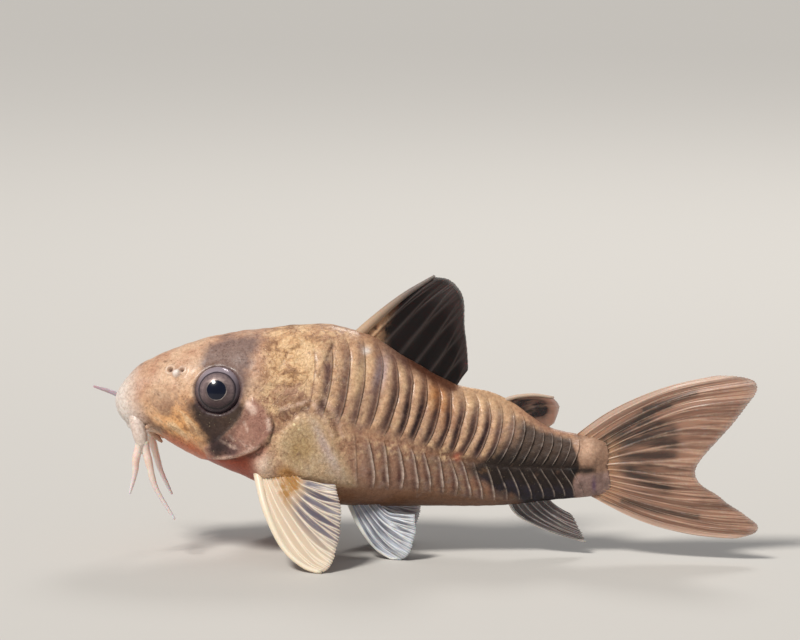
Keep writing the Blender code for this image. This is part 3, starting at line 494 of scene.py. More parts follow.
def veinGroup():
    # a crazed network: thin lines, and the islands between them
    group, start, end = newGroup(
        "veinNetwork",
        (("Pitch", "NodeSocketFloat", 1000.0), ("Width", "NodeSocketFloat", 0.1)),
        (("Line", "NodeSocketFloat"), ("Island", "NodeSocketFloat")),
    )
    where = addNode(group, "ShaderNodeTexCoord").outputs["Object"]
    wobble = addNode(group, "ShaderNodeTexNoise")
    group.links.new(where, wobble.inputs["Vector"])
    feed(group, times(group, start.outputs["Pitch"], 1.3), wobble.inputs["Scale"])
    moved = addNode(group, "ShaderNodeVectorMath", operation="MULTIPLY_ADD")
    group.links.new(wobble.outputs["Color"], moved.inputs[0])
    reach = calc(group, "DIVIDE", 0.9, start.outputs["Pitch"])
    group.links.new(reach, moved.inputs[1])
    group.links.new(where, moved.inputs[2])
    edge = cells(group, start.outputs["Pitch"], "DISTANCE_TO_EDGE", moved.outputs[0])
    share = calc(group, "DIVIDE", edge, start.outputs["Width"])
    feed(group, spread(group, share, 1.0, 0.15), end.inputs["Line"])
    feed(group, spread(group, share, 1.2, 3.2), end.inputs["Island"])
    return group


def streakGroup():
    # fine streaks that slope back and down, as on the cheek
    group, start, end = newGroup(
        "flowStreaks", (("Pitch", "NodeSocketFloat", 900.0),), (("Streak", "NodeSocketFloat"),)
    )
    mapping = addNode(group, "ShaderNodeMapping", vector_type="TEXTURE")
    group.links.new(addNode(group, "ShaderNodeTexCoord").outputs["Object"], mapping.inputs["Vector"])
    mapping.inputs["Rotation"].default_value = (0.0, math.radians(38.0), 0.0)
    mapping.inputs["Scale"].default_value = (3.2, 1.0, 1.0)
    streaks = noise(group, start.outputs["Pitch"], 4.0, 0.62, 0.4, mapping.outputs[0])
    feed(group, streaks, end.inputs["Streak"])
    return group


pigmentSpeckle = speckleGroup()
wetSheen = sheenGroup()
veinNetwork = veinGroup()
flowStreaks = streakGroup()


def useGroup(tree, group, **values):
    node = addNode(tree, "ShaderNodeGroup", node_tree=group)
    for label, value in values.items():
        feed(tree, value, node.inputs[label])
    return node


def newMaterial(name, **settings):
    # a Principled material; the settings are constants on its own sockets
    made = bpy.data.materials.new(name)
    made.use_nodes = True
    tree = made.node_tree
    shader = tree.nodes["Principled BSDF"]
    for label, value in settings.items():
        feed(tree, value, shader.inputs[label.replace("_", " ")])
    return made, tree, shader


def addBump(tree, shader, height, distance, strength=1.0, under=None):
    node = addNode(tree, "ShaderNodeBump")
    node.inputs["Strength"].default_value = strength
    node.inputs["Distance"].default_value = distance
    feed(tree, height, node.inputs["Height"])
    if under is not None:
        tree.links.new(under, node.inputs["Normal"])
    tree.links.new(node.outputs["Normal"], shader.inputs["Normal"])
    return node.outputs["Normal"]


# The skin of head, trunk and tail stalk, in one piece. A place on the flank is a pair: the distance
# from the snout along the body, and the height over the ground.

skin = {
    "headRings": 120,
    "around": 220,
    "endRings": 14,
    "ringsInPlate": (0.0, 0.07, 0.16, 0.28, 0.40, 0.52, 0.64, 0.75, 0.84, 0.90, 0.95, 0.985),
    "plateRises": ((15.0, 0.10), (18.5, 0.16), (21.5, 0.24), (27.0, 0.22), (32.0, 0.14), (39.0, 0.11)),
    "seamWaves": ((0.065, 0.07, 1.7), (0.03, 0.19, -2.6)),
    "lowerBow": 0.17,
    # raised spots: middle, size each way, lean back with height, droop with distance, rise
    "bones": (
        ((8.2, 9.9), (1.5, 1.1), 0.0, 0.0, 0.12),
        ((4.6, 12.3), (1.3, 0.9), 0.0, 0.0, 0.07),
        ((5.0, 10.9), (0.9, 0.35), 0.0, 0.25, 0.10),
        ((15.0, 13.068), (1.7, 0.32), 0.0, 0.16, -0.14),
    ),
    # rises along the back: station, length, width in degrees and rise
    "backRises": ((17.2, 1.3, 26.0, 0.14), (14.4, 1.0, 20.0, 0.06), (30.6, 2.2, 11.0, 0.20)),
    # brush strokes: their points, width and strength
    # ridges: raised lines along the gill cover's lower edge and on the shoulder, pale along their tops as
    # painted highlight
    "ridge": (
        ((8.2, 8.45), (10.0, 8.75), (11.7, 9.5), 0.13, 0.9),
        ((13.5, 12.5), (14.6, 12.7), (15.7, 13.15), 0.14, 0.8),
        ((16.1, 12.9), (17.0, 11.6), (17.6, 10.3), 0.15, 0.6),
        ((17.0, 13.2), (17.9, 11.8), (18.5, 10.2), 0.15, 0.5),
    ),
    # creases: the first three lie under the ridges and are dark with painted shade, the others are dark lines
    # of the skin
    "crease": (
        ((8.6, 8.15), (10.2, 8.35), (12.0, 9.0), 0.15, 0.9),
        ((13.4, 12.1), (14.6, 12.25), (15.8, 12.7), 0.20, 0.8),
        ((16.6, 13.0), (17.5, 11.7), (18.1, 10.2), 0.16, 0.7),
        ((16.5, 15.0), (17.1, 16.2), (17.7, 17.4), 0.10, 0.8),
        ((13.4, 15.6), (14.0, 16.8), (15.2, 17.4), 0.09, 0.6),
        ((12.0, 14.3), (13.6, 14.4), (15.2, 14.1), 0.10, 0.5),
    ),
    # pale spots on the gill cover: painted highlights
    "coverLight": (
        ((10.9, 12.9), (11.4, 12.3), 0.30, 1.0), ((12.5, 11.6), (12.6, 10.9), 0.22, 0.9),
        ((10.6, 11.4), (10.9, 10.8), 0.14, 0.7), ((9.4, 10.4), (9.8, 10.0), 0.12, 0.6),
    ),
    "coverShade": (((8.4, 9.6), (9.6, 9.3), 0.85, 1.0),),
    "girdleStroke": (((12.0, 8.1), (12.4, 7.2), (12.7, 6.3), 0.5, 0.9),),
    "eyeHole": 1.80,
    "eyeRim": 0.12,
    "mouth": {"front": 1.55, "backSweep": 0.95, "halfArc": 58.0, "lipOffset": 0.38, "lipRise": 0.24,
              "lipWidth": 0.22},
    "nostrils": ((4.6, 48.0, 0.34, 0.20), (5.55, 45.0, 0.28, 0.16)),  # station, angle, rim and hole radius
    "nostrilFlap": (5.12, 42.0),
    "mouthStem": {
        "points": ((1.6, 1.0, 12.3), (1.8, 2.0, 11.2), (2.05, 2.6, 10.2), (2.25, 2.82, 9.4),
                   (2.34, 2.93, 8.5)),
        "radii": (0.40, 0.62, 0.57, 0.49, 0.16), "pale": 0.74,
    },
    "lipFlap": {
        "points": ((2.7, 0.7, 10.5), (3.2, 0.85, 9.7), (3.8, 1.0, 9.1)),
        "radii": (0.42, 0.30, 0.10), "pale": 0.15,
    },
    "gillCover": ((11.3, 13.3), (12.4, 12.5), (12.9, 11.2), (12.5, 9.9), (11.2, 9.0), (9.4, 8.35), (7.7, 8.3),
                  (7.4, 9.3), (8.6, 10.1), (9.8, 11.2), (10.6, 12.5)),
    "gillRed": ((7.6, 8.2), (9.4, 8.35), (11.3, 9.0), (12.3, 9.8), (12.1, 8.4), (11.6, 6.3), (9.0, 6.2),
                (6.6, 7.2)),
    "jaw": ((2.9, 9.4), (4.2, 10.0), (6.2, 9.6), (7.6, 8.9), (9.6, 8.5), (11.4, 8.8), (12.0, 5.5), (8.0, 5.5),
            (4.0, 7.5)),
    "shoulderPlate": ((13.4, 8.6), (14.0, 7.6), (15.3, 7.0), (17.2, 6.4), (19.4, 6.2), (18.8, 7.6),
                      (18.0, 8.9),
                      (17.2, 10.6), (16.4, 11.9), (15.0, 11.8), (14.0, 11.0), (13.2, 9.9)),
    "maskUpper": ((8.4, 19.0), (8.2, 17.6), (7.3, 16.6), (6.9, 15.8), (7.6, 14.6), (9.2, 13.4), (10.4, 13.2),
                  (10.9, 14.2), (10.9, 15.4), (11.3, 16.4), (11.9, 17.6), (12.0, 19.0)),
    "maskLower": ((6.2, 12.6), (6.5, 11.4), (7.1, 10.6), (7.5, 9.9), (7.9, 9.1), (8.6, 8.4), (9.5, 8.8),
                  (9.4, 9.8), (9.8, 10.6), (10.6, 11.6), (10.8, 12.6), (9.8, 13.8), (7.4, 13.8)),
    # soft spots of colour: middle, size each way, lean back with height, droop with distance
    "spots": {
        # a gold patch on the nape: partly the skin's own gold, partly painted highlight
        "gold": ((14.6, 16.0), (2.4, 2.4)),
        "cheekGold": ((5.6, 10.9), (3.2, 2.3)),
        "mauve": ((14.6, 13.7), (1.6, 0.7)),
        "shoulderFold": ((15.0, 12.868), (1.8, 0.55), 0.0, 0.16),
        "shoulderCool": ((17.045, 9.4), (0.45, 2.0), -0.45),
        "gilded": ((15.0, 9.6), (1.4, 1.7)),
        "girdle": ((12.1, 7.9), (0.80, 1.0)),
        "finRoot": ((13.9, 7.3), (0.95, 0.75)),
        "whiteRib": ((19.85, 14.9), (0.40, 1.5), 0.25),
        "lilacRib": ((21.5, 15.0), (0.5, 1.2), 0.2),
        "pearl": ((20.3, 16.7), (0.30, 0.26)),
        # an orange patch below the dorsal fin: a painted pool of warm light
        "rust": ((26.3, 12.6), (1.1, 1.4), 0.0, 0.8),
        "umber": ((28.0, 8.0), (3.6, 2.1)),
        "blush": ((27.9, 8.3), (0.30, 0.32)),
        # a bright spot on the root of the tail: painted highlight
        "rootHighlight": ((38.4, 8.9), (0.8, 0.8)),
        "rootViolet": ((38.9, 5.9), (0.16, 0.6)),
    },
    "tones": {
        "flank": (0.56, 0.320, 0.195), "flankCool": (0.37, 0.205, 0.145), "flankLow": (0.42, 0.225, 0.145),
        "gold": (0.82, 0.50, 0.235), "goldPale": (0.90, 0.63, 0.37), "networkLine": (0.235, 0.115, 0.060),
        "mauve": (0.44, 0.245, 0.190), "headTan": (0.74, 0.50, 0.34), "headRose": (0.56, 0.315, 0.205),
        "cheek": (0.80, 0.42, 0.17), "cheekDark": (0.20, 0.088, 0.038), "snout": (0.86, 0.79, 0.74),
        "maskUpper": (0.225, 0.150, 0.135), "maskLower": (0.024, 0.014, 0.014),
        "eyeRim": (0.07, 0.045, 0.055),
        "cover": (0.42, 0.215, 0.170), "coverPale": (0.90, 0.66, 0.55), "coverDark": (0.085, 0.045, 0.055),
        "gill": (0.36, 0.060, 0.025), "jaw": (0.66, 0.175, 0.070), "slit": (0.04, 0.012, 0.008),
        "shield": (0.84, 0.63, 0.40), "shieldCool": (0.80, 0.66, 0.64), "gilt": (0.40, 0.255, 0.075),
        "girdle": (0.96, 0.75, 0.60), "finRoot": (0.52, 0.265, 0.085), "hole": (0.13, 0.075, 0.06),
        "belly": (0.30, 0.145, 0.075), "underside": (0.15, 0.065, 0.030), "umber": (0.135, 0.062, 0.034),
        "crest": (0.84, 0.54, 0.32), "edge": (0.80, 0.66, 0.57), "gap": (0.095, 0.045, 0.046),
        "hollow": (0.030, 0.013, 0.013), "stain": (0.095, 0.030, 0.022), "ribShade": (0.215, 0.120, 0.110),
        "lilac": (0.50, 0.40, 0.44), "rust": (0.46, 0.165, 0.030), "blush": (0.55, 0.10, 0.05),
        "saddle": (0.60, 0.385, 0.225), "underFin": (0.085, 0.026, 0.012), "stalk": (0.056, 0.035, 0.026),
        "stalkBlack": (0.003, 0.002, 0.002), "navy": (0.010, 0.010, 0.026), "tailRoot": (0.36, 0.215, 0.145),
        "rootLow": (0.36, 0.235, 0.205), "rootHighlight": (0.84, 0.56, 0.40), "rootViolet": (0.10, 0.045, 0.13),
        "dot": (0.32, 0.22, 0.17), "fleck": (1.0, 0.84, 0.50),
    },
    # coats of colour, one over another: tone, masks (with a ~ where the edge frays), strength, and the
    # pattern that breaks it up with its low, high and, where they aren't 0 and 1, least and most
    "coats": (
        ("flankCool", "", 1.0, "middling", 0.42, 0.66),
        ("gold", "gold", 1.0, "middling", 0.25, 0.5),
        ("goldPale", "network island", 1.0, "wide", 0.35, 0.6, 0.15, 0.85),
        ("mauve", "mauve~", 0.75),
        ("networkLine", "network vein", 1.0, "middling", 0.42, 0.64, 0.0, 0.6),
        ("networkLine", "network fineVein", 0.25),
        ("goldPale", "network", 1.0, "blotch", 0.50, 0.60, 0.0, 0.75),
        ("networkLine", "network", 1.0, "blotch", 0.45, 0.36, 0.0, 0.7),
        ("goldPale", "gold", 1.0, "blotch", 0.42, 0.56, 0.0, 0.6),
        ("networkLine", "shoulderFold", 0.5),
        ("headMix", "head", 1.0),
        ("cheekMix", "cheekGold head", 0.95),
        # the lower flank: partly its own brown, partly painted shade
        ("flankLow", "lowerFlank", 0.9),
        ("umber", "umber", 1.0, "middling", 0.3, 0.6, 1.0, 0.65),
        ("saddle", "saddle", 0.85),
        # painted shade on the belly and underside, over the belly's own brown
        ("belly", "belly", 1.0),
        ("underside", "underside", 0.8),
        ("jaw", "jaw~", 0.92),
        ("shieldMix", "shoulder~", 0.75),
        # painted sheen
        ("playMix", "shoulder play", 0.2),
        ("gilt", "gilded", 1.0, "middling", 0.30, 0.58, 0.9, 0.55),
        ("networkLine", "shoulder fineVein", 0.3),
        ("goldPale", "shoulderRim", 0.3),
        ("playMix", "plateRow play", 0.22),
        # the rib crests: partly their own gold, partly painted highlight
        ("crest", "plateCrest", 1.0, "fine", 0.3, 0.6, 0.3, 0.9),
        ("goldPale", "plateCrest", 1.0, "blotch", 0.50, 0.62, 0.0, 0.8),
        ("flankCool", "plateRow", 1.0, "wide", 0.46, 0.62, 0.0, 0.55),
        ("ribShade", "ribShade", 1.0, "middling", 0.34, 0.58, 0.75, 0.25),
        ("lilac", "lilacRib", 0.8),
        ("goldPale", "whiteRib", 0.95),
        # painted pool of warm light
        ("rust", "rust", 0.9, "middling", 0.3, 0.55, 0.3, 1.0),
        ("goldPale", "crumble", 0.6, "fine", 0.50, 0.66),
        ("networkLine", "crumble", 0.7, "fine", 0.46, 0.34),
        # the gaps and hollows between plates: partly dark pigment, partly painted shade
        ("gap", "plateGap", 1.0, "middling", 0.25, 0.6, 1.0, 0.6),
        ("hollow", "plateHollow", 1.0, "middling", 0.3, 0.6, 1.3, 0.75),
        ("stain", "plateStain", 1.0, "fine", 0.36, 0.56),
        ("networkLine", "plateLine", 0.6),
        # painted shade on the back under the dorsal fin
        ("gap", "backDark", 0.6),
        # painted shadow of the dorsal fin
        ("underFin", "underFin~", 0.85),
        ("snout", "pearl", 1.0),
        ("cover", "gillCover~", 0.85),
        ("coverDark", "coverShade~", 0.8),
        # painted glints and highlights on the gill cover
        ("coverPale", "gillCover~", 0.6, "streaks", 0.58, 0.70),
        ("coverPale", "coverLight~", 0.85),
        ("maskUpper", "maskUpper~", 0.92),
        ("maskLower", "maskLower~", 0.92),
        ("stalkMix", "stalkDark~", 0.96),
        ("rootMix", "tailRoot~", 1.0),
        ("stalkBlack", "tailSpot~", 0.9),
        ("edge", "plateEdge edgeShare broken", 1.0),
        # the snout's own pale colour with a painted rim highlight
        ("snout", "snoutPale", 0.9),
        ("gill", "gillRed", 0.92),
        ("girdle", "girdle", 0.9),
        ("finRoot", "finRoot~", 0.85),
        ("blush", "blush", 0.6),
        # dark in the creases, partly painted shade and partly dark lines; pale along the ridges, painted
        # highlight
        ("slit", "crease broken", 0.75),
        ("coverPale", "ridge broken", 0.8),
    ),
    "lastCoats": (
        ("eyeRim", "eyeRim", 0.7),
        # the slits and the nostrils' holes coloured dark: painted shade
        ("slit", "slit", 0.85),
        ("hole", "nostrilHole", 1.0),
        ("snout", "nostrilRim", 0.2),
        ("snout", "nostrilFlap", 0.9),
    ),
}


def outlineShare(points, x, y, soft):
    # 1 inside a closed outline and 0 outside, with a soft edge
    points = np.asarray(points, float)
    ends = np.roll(points, -1, axis=0)
    best = np.full(x.shape, 1e9)
    inside = np.zeros(x.shape, bool)
    for (ax, ay), (bx, by) in zip(points, ends):
        dx, dy = bx - ax, by - ay
        t = np.clip(((x - ax) * dx + (y - ay) * dy) / (dx * dx + dy * dy), 0, 1)
        best = np.minimum(best, np.hypot(x - ax - t * dx, y - ay - t * dy))
        crossing = (ay > y) != (by > y)
        at = ax + (y - ay) * dx / np.where(abs(dy) < 1e-9, 1e-9, dy)
        inside ^= crossing & (x < at)
    return smoothStep(-soft, soft, np.where(inside, best, -best))


def strokes(lines, s, height):
    # brush strokes between their points, each as strong as told
    total = 0 * s
    for *points, width, strength in lines:
        for (ax, ay), (bx, by) in zip(points[:-1], points[1:]):
            dx, dy = bx - ax, by - ay
            t = np.clip(((s - ax) * dx + (height - ay) * dy) / (dx * dx + dy * dy), 0, 1)
            gap = np.hypot(s - ax - t * dx, height - ay - t * dy)
            total = np.maximum(total, strength * np.exp(-((gap / width) ** 2)))
    return total


def spot(s, height, middle, size, lean=0.0, droop=0.0):
    # a soft spot, which may lean back with height or droop with distance
    along, up = s - middle[0], height - middle[1]
    return bump(along - lean * up, 0.0, size[0]) * bump(up + droop * along, 0.0, size[1])


def skinStations():
    head = body["gillOpening"] * np.linspace(0.004, 1.0, skin["headRings"]) ** 1.25
    seams = plateSeams()
    front = np.linspace(head[-1], seams[0], 26)[1:-1]
    steps = np.array(skin["ringsInPlate"])
    plates = (seams[:-1, None] + np.diff(seams)[:, None] * steps).ravel()
    plates = plates[plates < body["lastPlate"] + 0.3]
    end = np.linspace(plates[-1], body["tailRootEnd"], skin["endRings"] + 1)[1:]
    return np.concatenate([head, front, plates, end])


def waver(station, a):
    # the seams of the plates are not quite regular, and the lower row's are bowed
    within = smoothStep(15.5, 18.0, station) * smoothStep(33.0, 28.0, station)
    uneven = sum(size * np.sin(a * turn + station * step) for size, turn, step in skin["seamWaves"])
    lateral = lateralAngle(station)
    down = np.clip((lateral - a) / (lateral - lowerAngle(station)), 0, 1)
    bowed = smoothStep(18.5, 20.5, station) * smoothStep(38.0, 36.0, station)
    return within * uneven + skin["lowerBow"] * bowed * np.sin(np.pi * down)


def plateRelief(station, a, masks):
    # the height of the plates of both rows, for a station and a folded angle
    seams = plateSeams()
    draw = random.Random(23)
    index = np.clip(np.searchsorted(seams, station + 1e-6, side="right") - 1, 0, len(seams) - 2)
    t = np.clip((station - seams[index]) / (seams[index + 1] - seams[index]), 0, 1)
    inRows = (station >= seams[0] - 1e-6) & (station < body["lastPlate"])
    varied = np.array([draw.uniform(0.75, 1.2) for _ in seams])[index]
    lateral, top, bottom = lateralAngle(station), upperAngle(station), lowerAngle(station)
    upShare = np.clip((a - lateral) / (top - lateral), 0, 1)
    downShare = np.clip((lateral - a) / (lateral - bottom), 0, 1)
    upper = smoothStep(lateral + 0.5, lateral + 9.0, a) * smoothStep(top + 6.0, top - 24.0, a)
    lower = smoothStep(lateral - 0.5, lateral - 6.0, a) * smoothStep(bottom - 4.0, bottom + 6.0, a)
    lower = lower * smoothStep(body["firstLowerPlate"] - 0.8, body["firstLowerPlate"] + 0.8, station)
    upper, lower = np.where(inRows, upper, 0.0), np.where(inRows, lower, 0.0)
    row, inUpper = np.maximum(upper, lower), upper >= lower
    late = smoothStep(28.5, 32.0, station)
    early = 1 - late
    rib = early * inUpper  # the front plates are round ribs, the rear ones flat tiles
    rounded = np.sin(np.pi * t**0.72) ** 0.9
    tile = (0.15 + 0.85 * t**1.3) * smoothStep(1.0, 0.965, t)
    profile = (0.75 * rounded + 0.25 * tile) * rib + tile * (1 - rib)
    profile = profile + 0.30 * bump(t, 0.955, 0.035) + 0.30 * lower * early * bump(t, 0.93, 0.08)
    lumps = 1 + 0.16 * np.sin(a * 0.28 + index * 2.3) + 0.10 * np.sin(a * 0.61 + index * 1.1)
    height = curveOf(skin["plateRises"])(station) * np.where(inUpper, 1.0, 0.70) * varied * lumps

    upperEdge = bump(t, 0.955, 0.045) * upper * (0.40 + 0.60 * late) * smoothStep(0.95, 0.6, upShare)
    lowerEdge = bump(t, 0.93, 0.115 - 0.05 * late) * lower * (0.25 + 0.75 * bump(downShare, 0.52, 0.42))
    masks["plateEdge"] = np.maximum(upperEdge, lowerEdge)
    # the gaps and hollows between plates are dark partly with their own pigment, partly with painted shade;
    # on the rear plates a painted shadow lies just behind each raised edge
    deep = np.where(inUpper, 0.45 + 0.55 * smoothStep(0.75, 0.25, upShare), 0.85)
    deep = deep * (0.35 + 0.65 * smoothStep(18.5, 21.5, station))
    masks["plateGap"] = row * deep * np.maximum(bump(t, 0.79, 0.18), 0.7 * late * bump(t, 0.06, 0.12))
    hollow = bump(t, 0.73, 0.25) * smoothStep(0.86, 0.34, upShare) * smoothStep(0.0, 0.12, upShare)
    hollow = hollow * (0.2 + 0.8 * smoothStep(19.0, 23.5, station))
    masks["plateHollow"] = upper * early * hollow * varied
    masks["plateStain"] = lower * early * bump(t, 0.66, 0.20) * bump(downShare, 0.62, 0.30) * varied
    masks["ribShade"] = upper * early * bump(t, 0.82, 0.40) * smoothStep(0.98, 0.55, upShare) * varied
    masks["plateLine"] = row * early * np.maximum(bump(t, 0.0, 0.05), bump(t, 0.90, 0.05))
    # the crest of each rib brighter: partly the plates' own gold, partly painted highlight
    masks["plateCrest"] = upper * bump(t, 0.32, 0.24) * (1 - 0.6 * late)
    masks["plateRow"] = row
    return height * profile * row


def headRelief(s, a, height, masks):
    # gill cover, gill and jaw, the shoulder's plates and the bones under the skin
    cover = outlineShare(skin["gillCover"], s, height, 0.22)
    coverLine = outlineShare(skin["gillCover"], s, height, 0.10)
    masks["gillCover"] = outlineShare(skin["gillCover"], s, height, 0.45)
    masks["gillRed"] = outlineShare(skin["gillRed"], s, height, 0.35) * (1 - coverLine)
    masks["jaw"] = outlineShare(skin["jaw"], s, height, 0.8)
    # the gill slit is coloured dark: painted shade in the opening
    slit = bump(outlineShare(skin["gillCover"], s, height, 0.35), 0.30, 0.16)
    masks["slit"] = slit * smoothStep(9.4, 11.6, s) * smoothStep(12.6, 11.4, height)
    relief = 0.20 * cover - 0.15 * masks["gillRed"] - 0.12 * masks["slit"]

    shoulder = outlineShare(skin["shoulderPlate"], s, height, 0.30)
    masks["shoulder"] = outlineShare(skin["shoulderPlate"], s, height, 0.6)
    masks["shoulderRim"] = bump(masks["shoulder"], 0.45, 0.22) * (a > -70)
    relief = relief + 0.20 * shoulder + 0.05 * masks["shoulderRim"]

    for name, where in skin["spots"].items():
        masks[name] = spot(s, height, *where)
    offBelly = a > -75  # the spots by the pectoral fin end short of the belly
    relief = relief + 0.30 * masks["girdle"] * offBelly
    masks["girdle"] = np.maximum(masks["girdle"], strokes(skin["girdleStroke"], s, height)) * offBelly
    masks["finRoot"] = masks["finRoot"] * offBelly
    masks["gilded"] = masks["gilded"] * masks["shoulder"]
    for name in ("ridge", "crease", "coverLight", "coverShade"):
        masks[name] = strokes(skin[name], s, height)
    relief = relief + 0.09 * masks["ridge"] - 0.09 * masks["crease"]

    for *bone, rise in skin["bones"]:
        relief = relief + rise * spot(s, height, *bone)
    for station, length, width, rise in skin["backRises"]:
        relief = relief + rise * bump(a, 90.0, width) * bump(s, station, length)
    crownGroove = bump(a, 90.0, 3.2) * smoothStep(5.5, 7.5, s) * smoothStep(12.5, 10.5, s)
    return relief - 0.06 * crownGroove, shoulder, coverLine


def eyeSurround(relief, points, s, degrees, side, masks):
    # the rim of the eye and the bed that it lies in, and the same point on the left side
    centre, axis = eyeAxis(1)
    onLeft = points.copy()
    flip = bodyPoints(s, 180.0 - degrees)
    onLeft[side < 0] = flip[side < 0]
    away = onLeft - centre
    along = away @ axis
    reach = np.linalg.norm(away - along[..., None] * axis, axis=-1)
    near = smoothStep(-1.0, 0.0, along)
    hole = skin["eyeHole"]
    masks["eyeRim"] = near * bump(reach, hole + 0.10, 0.16)
    relief = relief + near * skin["eyeRim"] * bump(reach, hole + 0.28, 0.26)
    return relief - near * 1.05 * smoothStep(hole + 0.04, hole - 0.22, reach), onLeft


def mouthAndNostrils(relief, s, a, onLeft, masks):
    mouth = skin["mouth"]
    turn = (a + 90.0) / mouth["halfArc"]
    inArc = smoothStep(1.12, 0.85, turn)
    fromSlit = s - mouth["front"] - mouth["backSweep"] * np.minimum(turn, 1.2) ** 2
    lips = bump(np.abs(fromSlit), mouth["lipOffset"], mouth["lipWidth"])
    # the mouth's slit is coloured dark too: painted shade
    masks["slit"] = np.maximum(masks["slit"], inArc * bump(fromSlit, 0.0, 0.10))
    relief = relief + inArc * (mouth["lipRise"] * lips - 0.30 * bump(fromSlit, 0.0, 0.11))
    holes = rims = 0.0
    for station, angle, rim, radius in skin["nostrils"]:
        gap = np.linalg.norm(onLeft - bodyPoints(station, angle), axis=-1)
        rims = np.maximum(rims, bump(gap, rim, 0.13))
        holes = np.maximum(holes, smoothStep(radius + 0.06, radius - 0.08, gap))
    flap = smoothStep(0.42, 0.14, np.linalg.norm(onLeft - bodyPoints(*skin["nostrilFlap"]), axis=-1))
    # the nostrils' holes are coloured dark: painted shade
    masks["nostrilHole"], masks["nostrilRim"], masks["nostrilFlap"] = holes, rims, flap
    return relief + 0.09 * rims - 0.34 * holes + 0.30 * flap


def colourMasks(station, s, a, height, coverLine, masks):
    # where the skin's other colours lie
    lateral = lateralAngle(station)
    soft = 0.6 * ripple(s, height, 31, 0.5)
    upperMask = outlineShare(skin["maskUpper"], s, height, 0.75)
    # the mask lightens towards the crest of the head: painted highlight where light falls from above
    masks["maskUpper"] = upperMask * (1 - 0.65 * smoothStep(62.0, 84.0, a))
    masks["maskLower"] = outlineShare(skin["maskLower"], s, height, 0.85) * (1 - 0.25 * coverLine)
    # the front of the snout pale: partly its own pale colour, partly a painted rim highlight
    masks["snoutPale"] = smoothStep(2.6, 0.3, s - 0.38 * np.maximum(12.9 - height, 0.0) + 0.2 * soft)
    masks["cheekGold"] = masks["cheekGold"] * (1 - masks["snoutPale"])
    masks["head"] = smoothStep(12.4, 10.4, s - 0.12 * (height - 12))
    masks["network"] = smoothStep(11.0, 12.6, s) * smoothStep(21.0, 16.5, s) * (1 - 0.8 * masks["shoulder"])
    # the belly darker: partly its own brown, partly painted shade; the underside darker still: painted shade
    masks["belly"] = smoothStep(6.7, 5.0, height + 0.05 * (s - 22)) * smoothStep(14.0, 17.0, s)
    masks["underside"] = smoothStep(5.6, 4.2, height) * smoothStep(13.0, 17.0, s)
    # the lower flank darker: partly its own brown, partly painted shade
    masks["lowerFlank"] = smoothStep(lateral + 4.0, lateral - 10.0, a) * smoothStep(17.0, 21.0, s)
    # height over the line between the two rows, and the dark of the stalk round it
    overLine = height - 8.6 + 0.13 * (s - 22.0)
    above, beneath = smoothStep(-0.3, 3.2, overLine), smoothStep(-0.4, -2.6, overLine)
    begins = 27.0 + 4.3 * above + 3.4 * beneath
    ends = smoothStep(38.6, 37.4, s + 0.22 * np.abs(height - 7.4) + soft)
    stalk = smoothStep(begins, begins + 3.6, s + soft) * (1 - 0.92 * smoothStep(50.0, 74.0, a))
    masks["stalkDark"] = stalk * ends
    masks["stalkBlack"] = smoothStep(2.3, 0.5, overLine) * smoothStep(28.0, 31.5, s) * ends
    masks["stalkNavy"] = smoothStep(-0.5, -1.4, overLine) * smoothStep(27.5, 31.0, s) * ends
    masks["crumble"] = bump(overLine, 0.5, 1.0) * smoothStep(16.5, 19.0, s) * smoothStep(30.0, 27.0, s)
    masks["tailRoot"] = 1 - ends
    masks["rootLow"] = smoothStep(7.2, 6.6, height)
    masks["tailSpot"] = smoothStep(36.2, 37.4, s) * smoothStep(39.4, 38.6, s) * bump(height, 7.15, 0.34)
    # the top of the back under the dorsal fin darker: painted shade
    masks["backDark"] = smoothStep(52.0, 80.0, a) * smoothStep(20.0, 23.5, s) * smoothStep(28.3, 26.0, s)
    masks["saddle"] = smoothStep(27.4, 28.4, s) * smoothStep(33.2, 31.4, s) * smoothStep(42.0, 62.0, a)
    # painted shadow of the dorsal fin along its base, with some of the skin's own orange-brown
    underFin = bump(height - 16.3 + 0.56 * (s - 22.6), 0.0, 0.75)
    masks["underFin"] = underFin * smoothStep(22.0, 24.5, s) * smoothStep(28.2, 27.2, s)
    masks["plateEdge"] = masks["plateEdge"] * (1 - 0.8 * masks["tailRoot"])
    masks["plateLine"] = masks["plateLine"] * (1 - masks["tailRoot"])


def skinReliefAndMasks(station, s, degrees, points):
    a = folded(degrees)
    side = np.where(np.abs((degrees + 180.0) % 360.0 - 180.0) <= 90.0, 1, -1)
    height = points[..., 2]
    masks = {}
    plates = plateRelief(station, a, masks)
    relief, shoulder, coverLine = headRelief(s, a, height, masks)
    relief = relief + plates * (1 - 0.85 * shoulder)
    relief, onLeft = eyeSurround(relief, points, s, degrees, side, masks)
    relief = mouthAndNostrils(relief, s, a, onLeft, masks)
    onHead = smoothStep(15.5, 12.0, station) * smoothStep(0.3, 2.5, s)
    masks["speckled"] = onHead
    relief = relief + 0.022 * onHead * ripple(s, height, 5, 0.30) + 0.014 * ripple(s, height, 9, 0.20)
    wrinkled = spot(s, height, (16.0, 14.0), (2.6, 2.8))
    relief = relief + 0.06 * wrinkled * ripple(s * 1.2, height, 14, 0.26)
    groove = bump(a, lateralAngle(station), 1.6) * smoothStep(16.5, 19.0, s) * smoothStep(39.5, 38.0, s)
    colourMasks(station, s, a, height, coverLine, masks)
    return relief - 0.05 * groove, masks


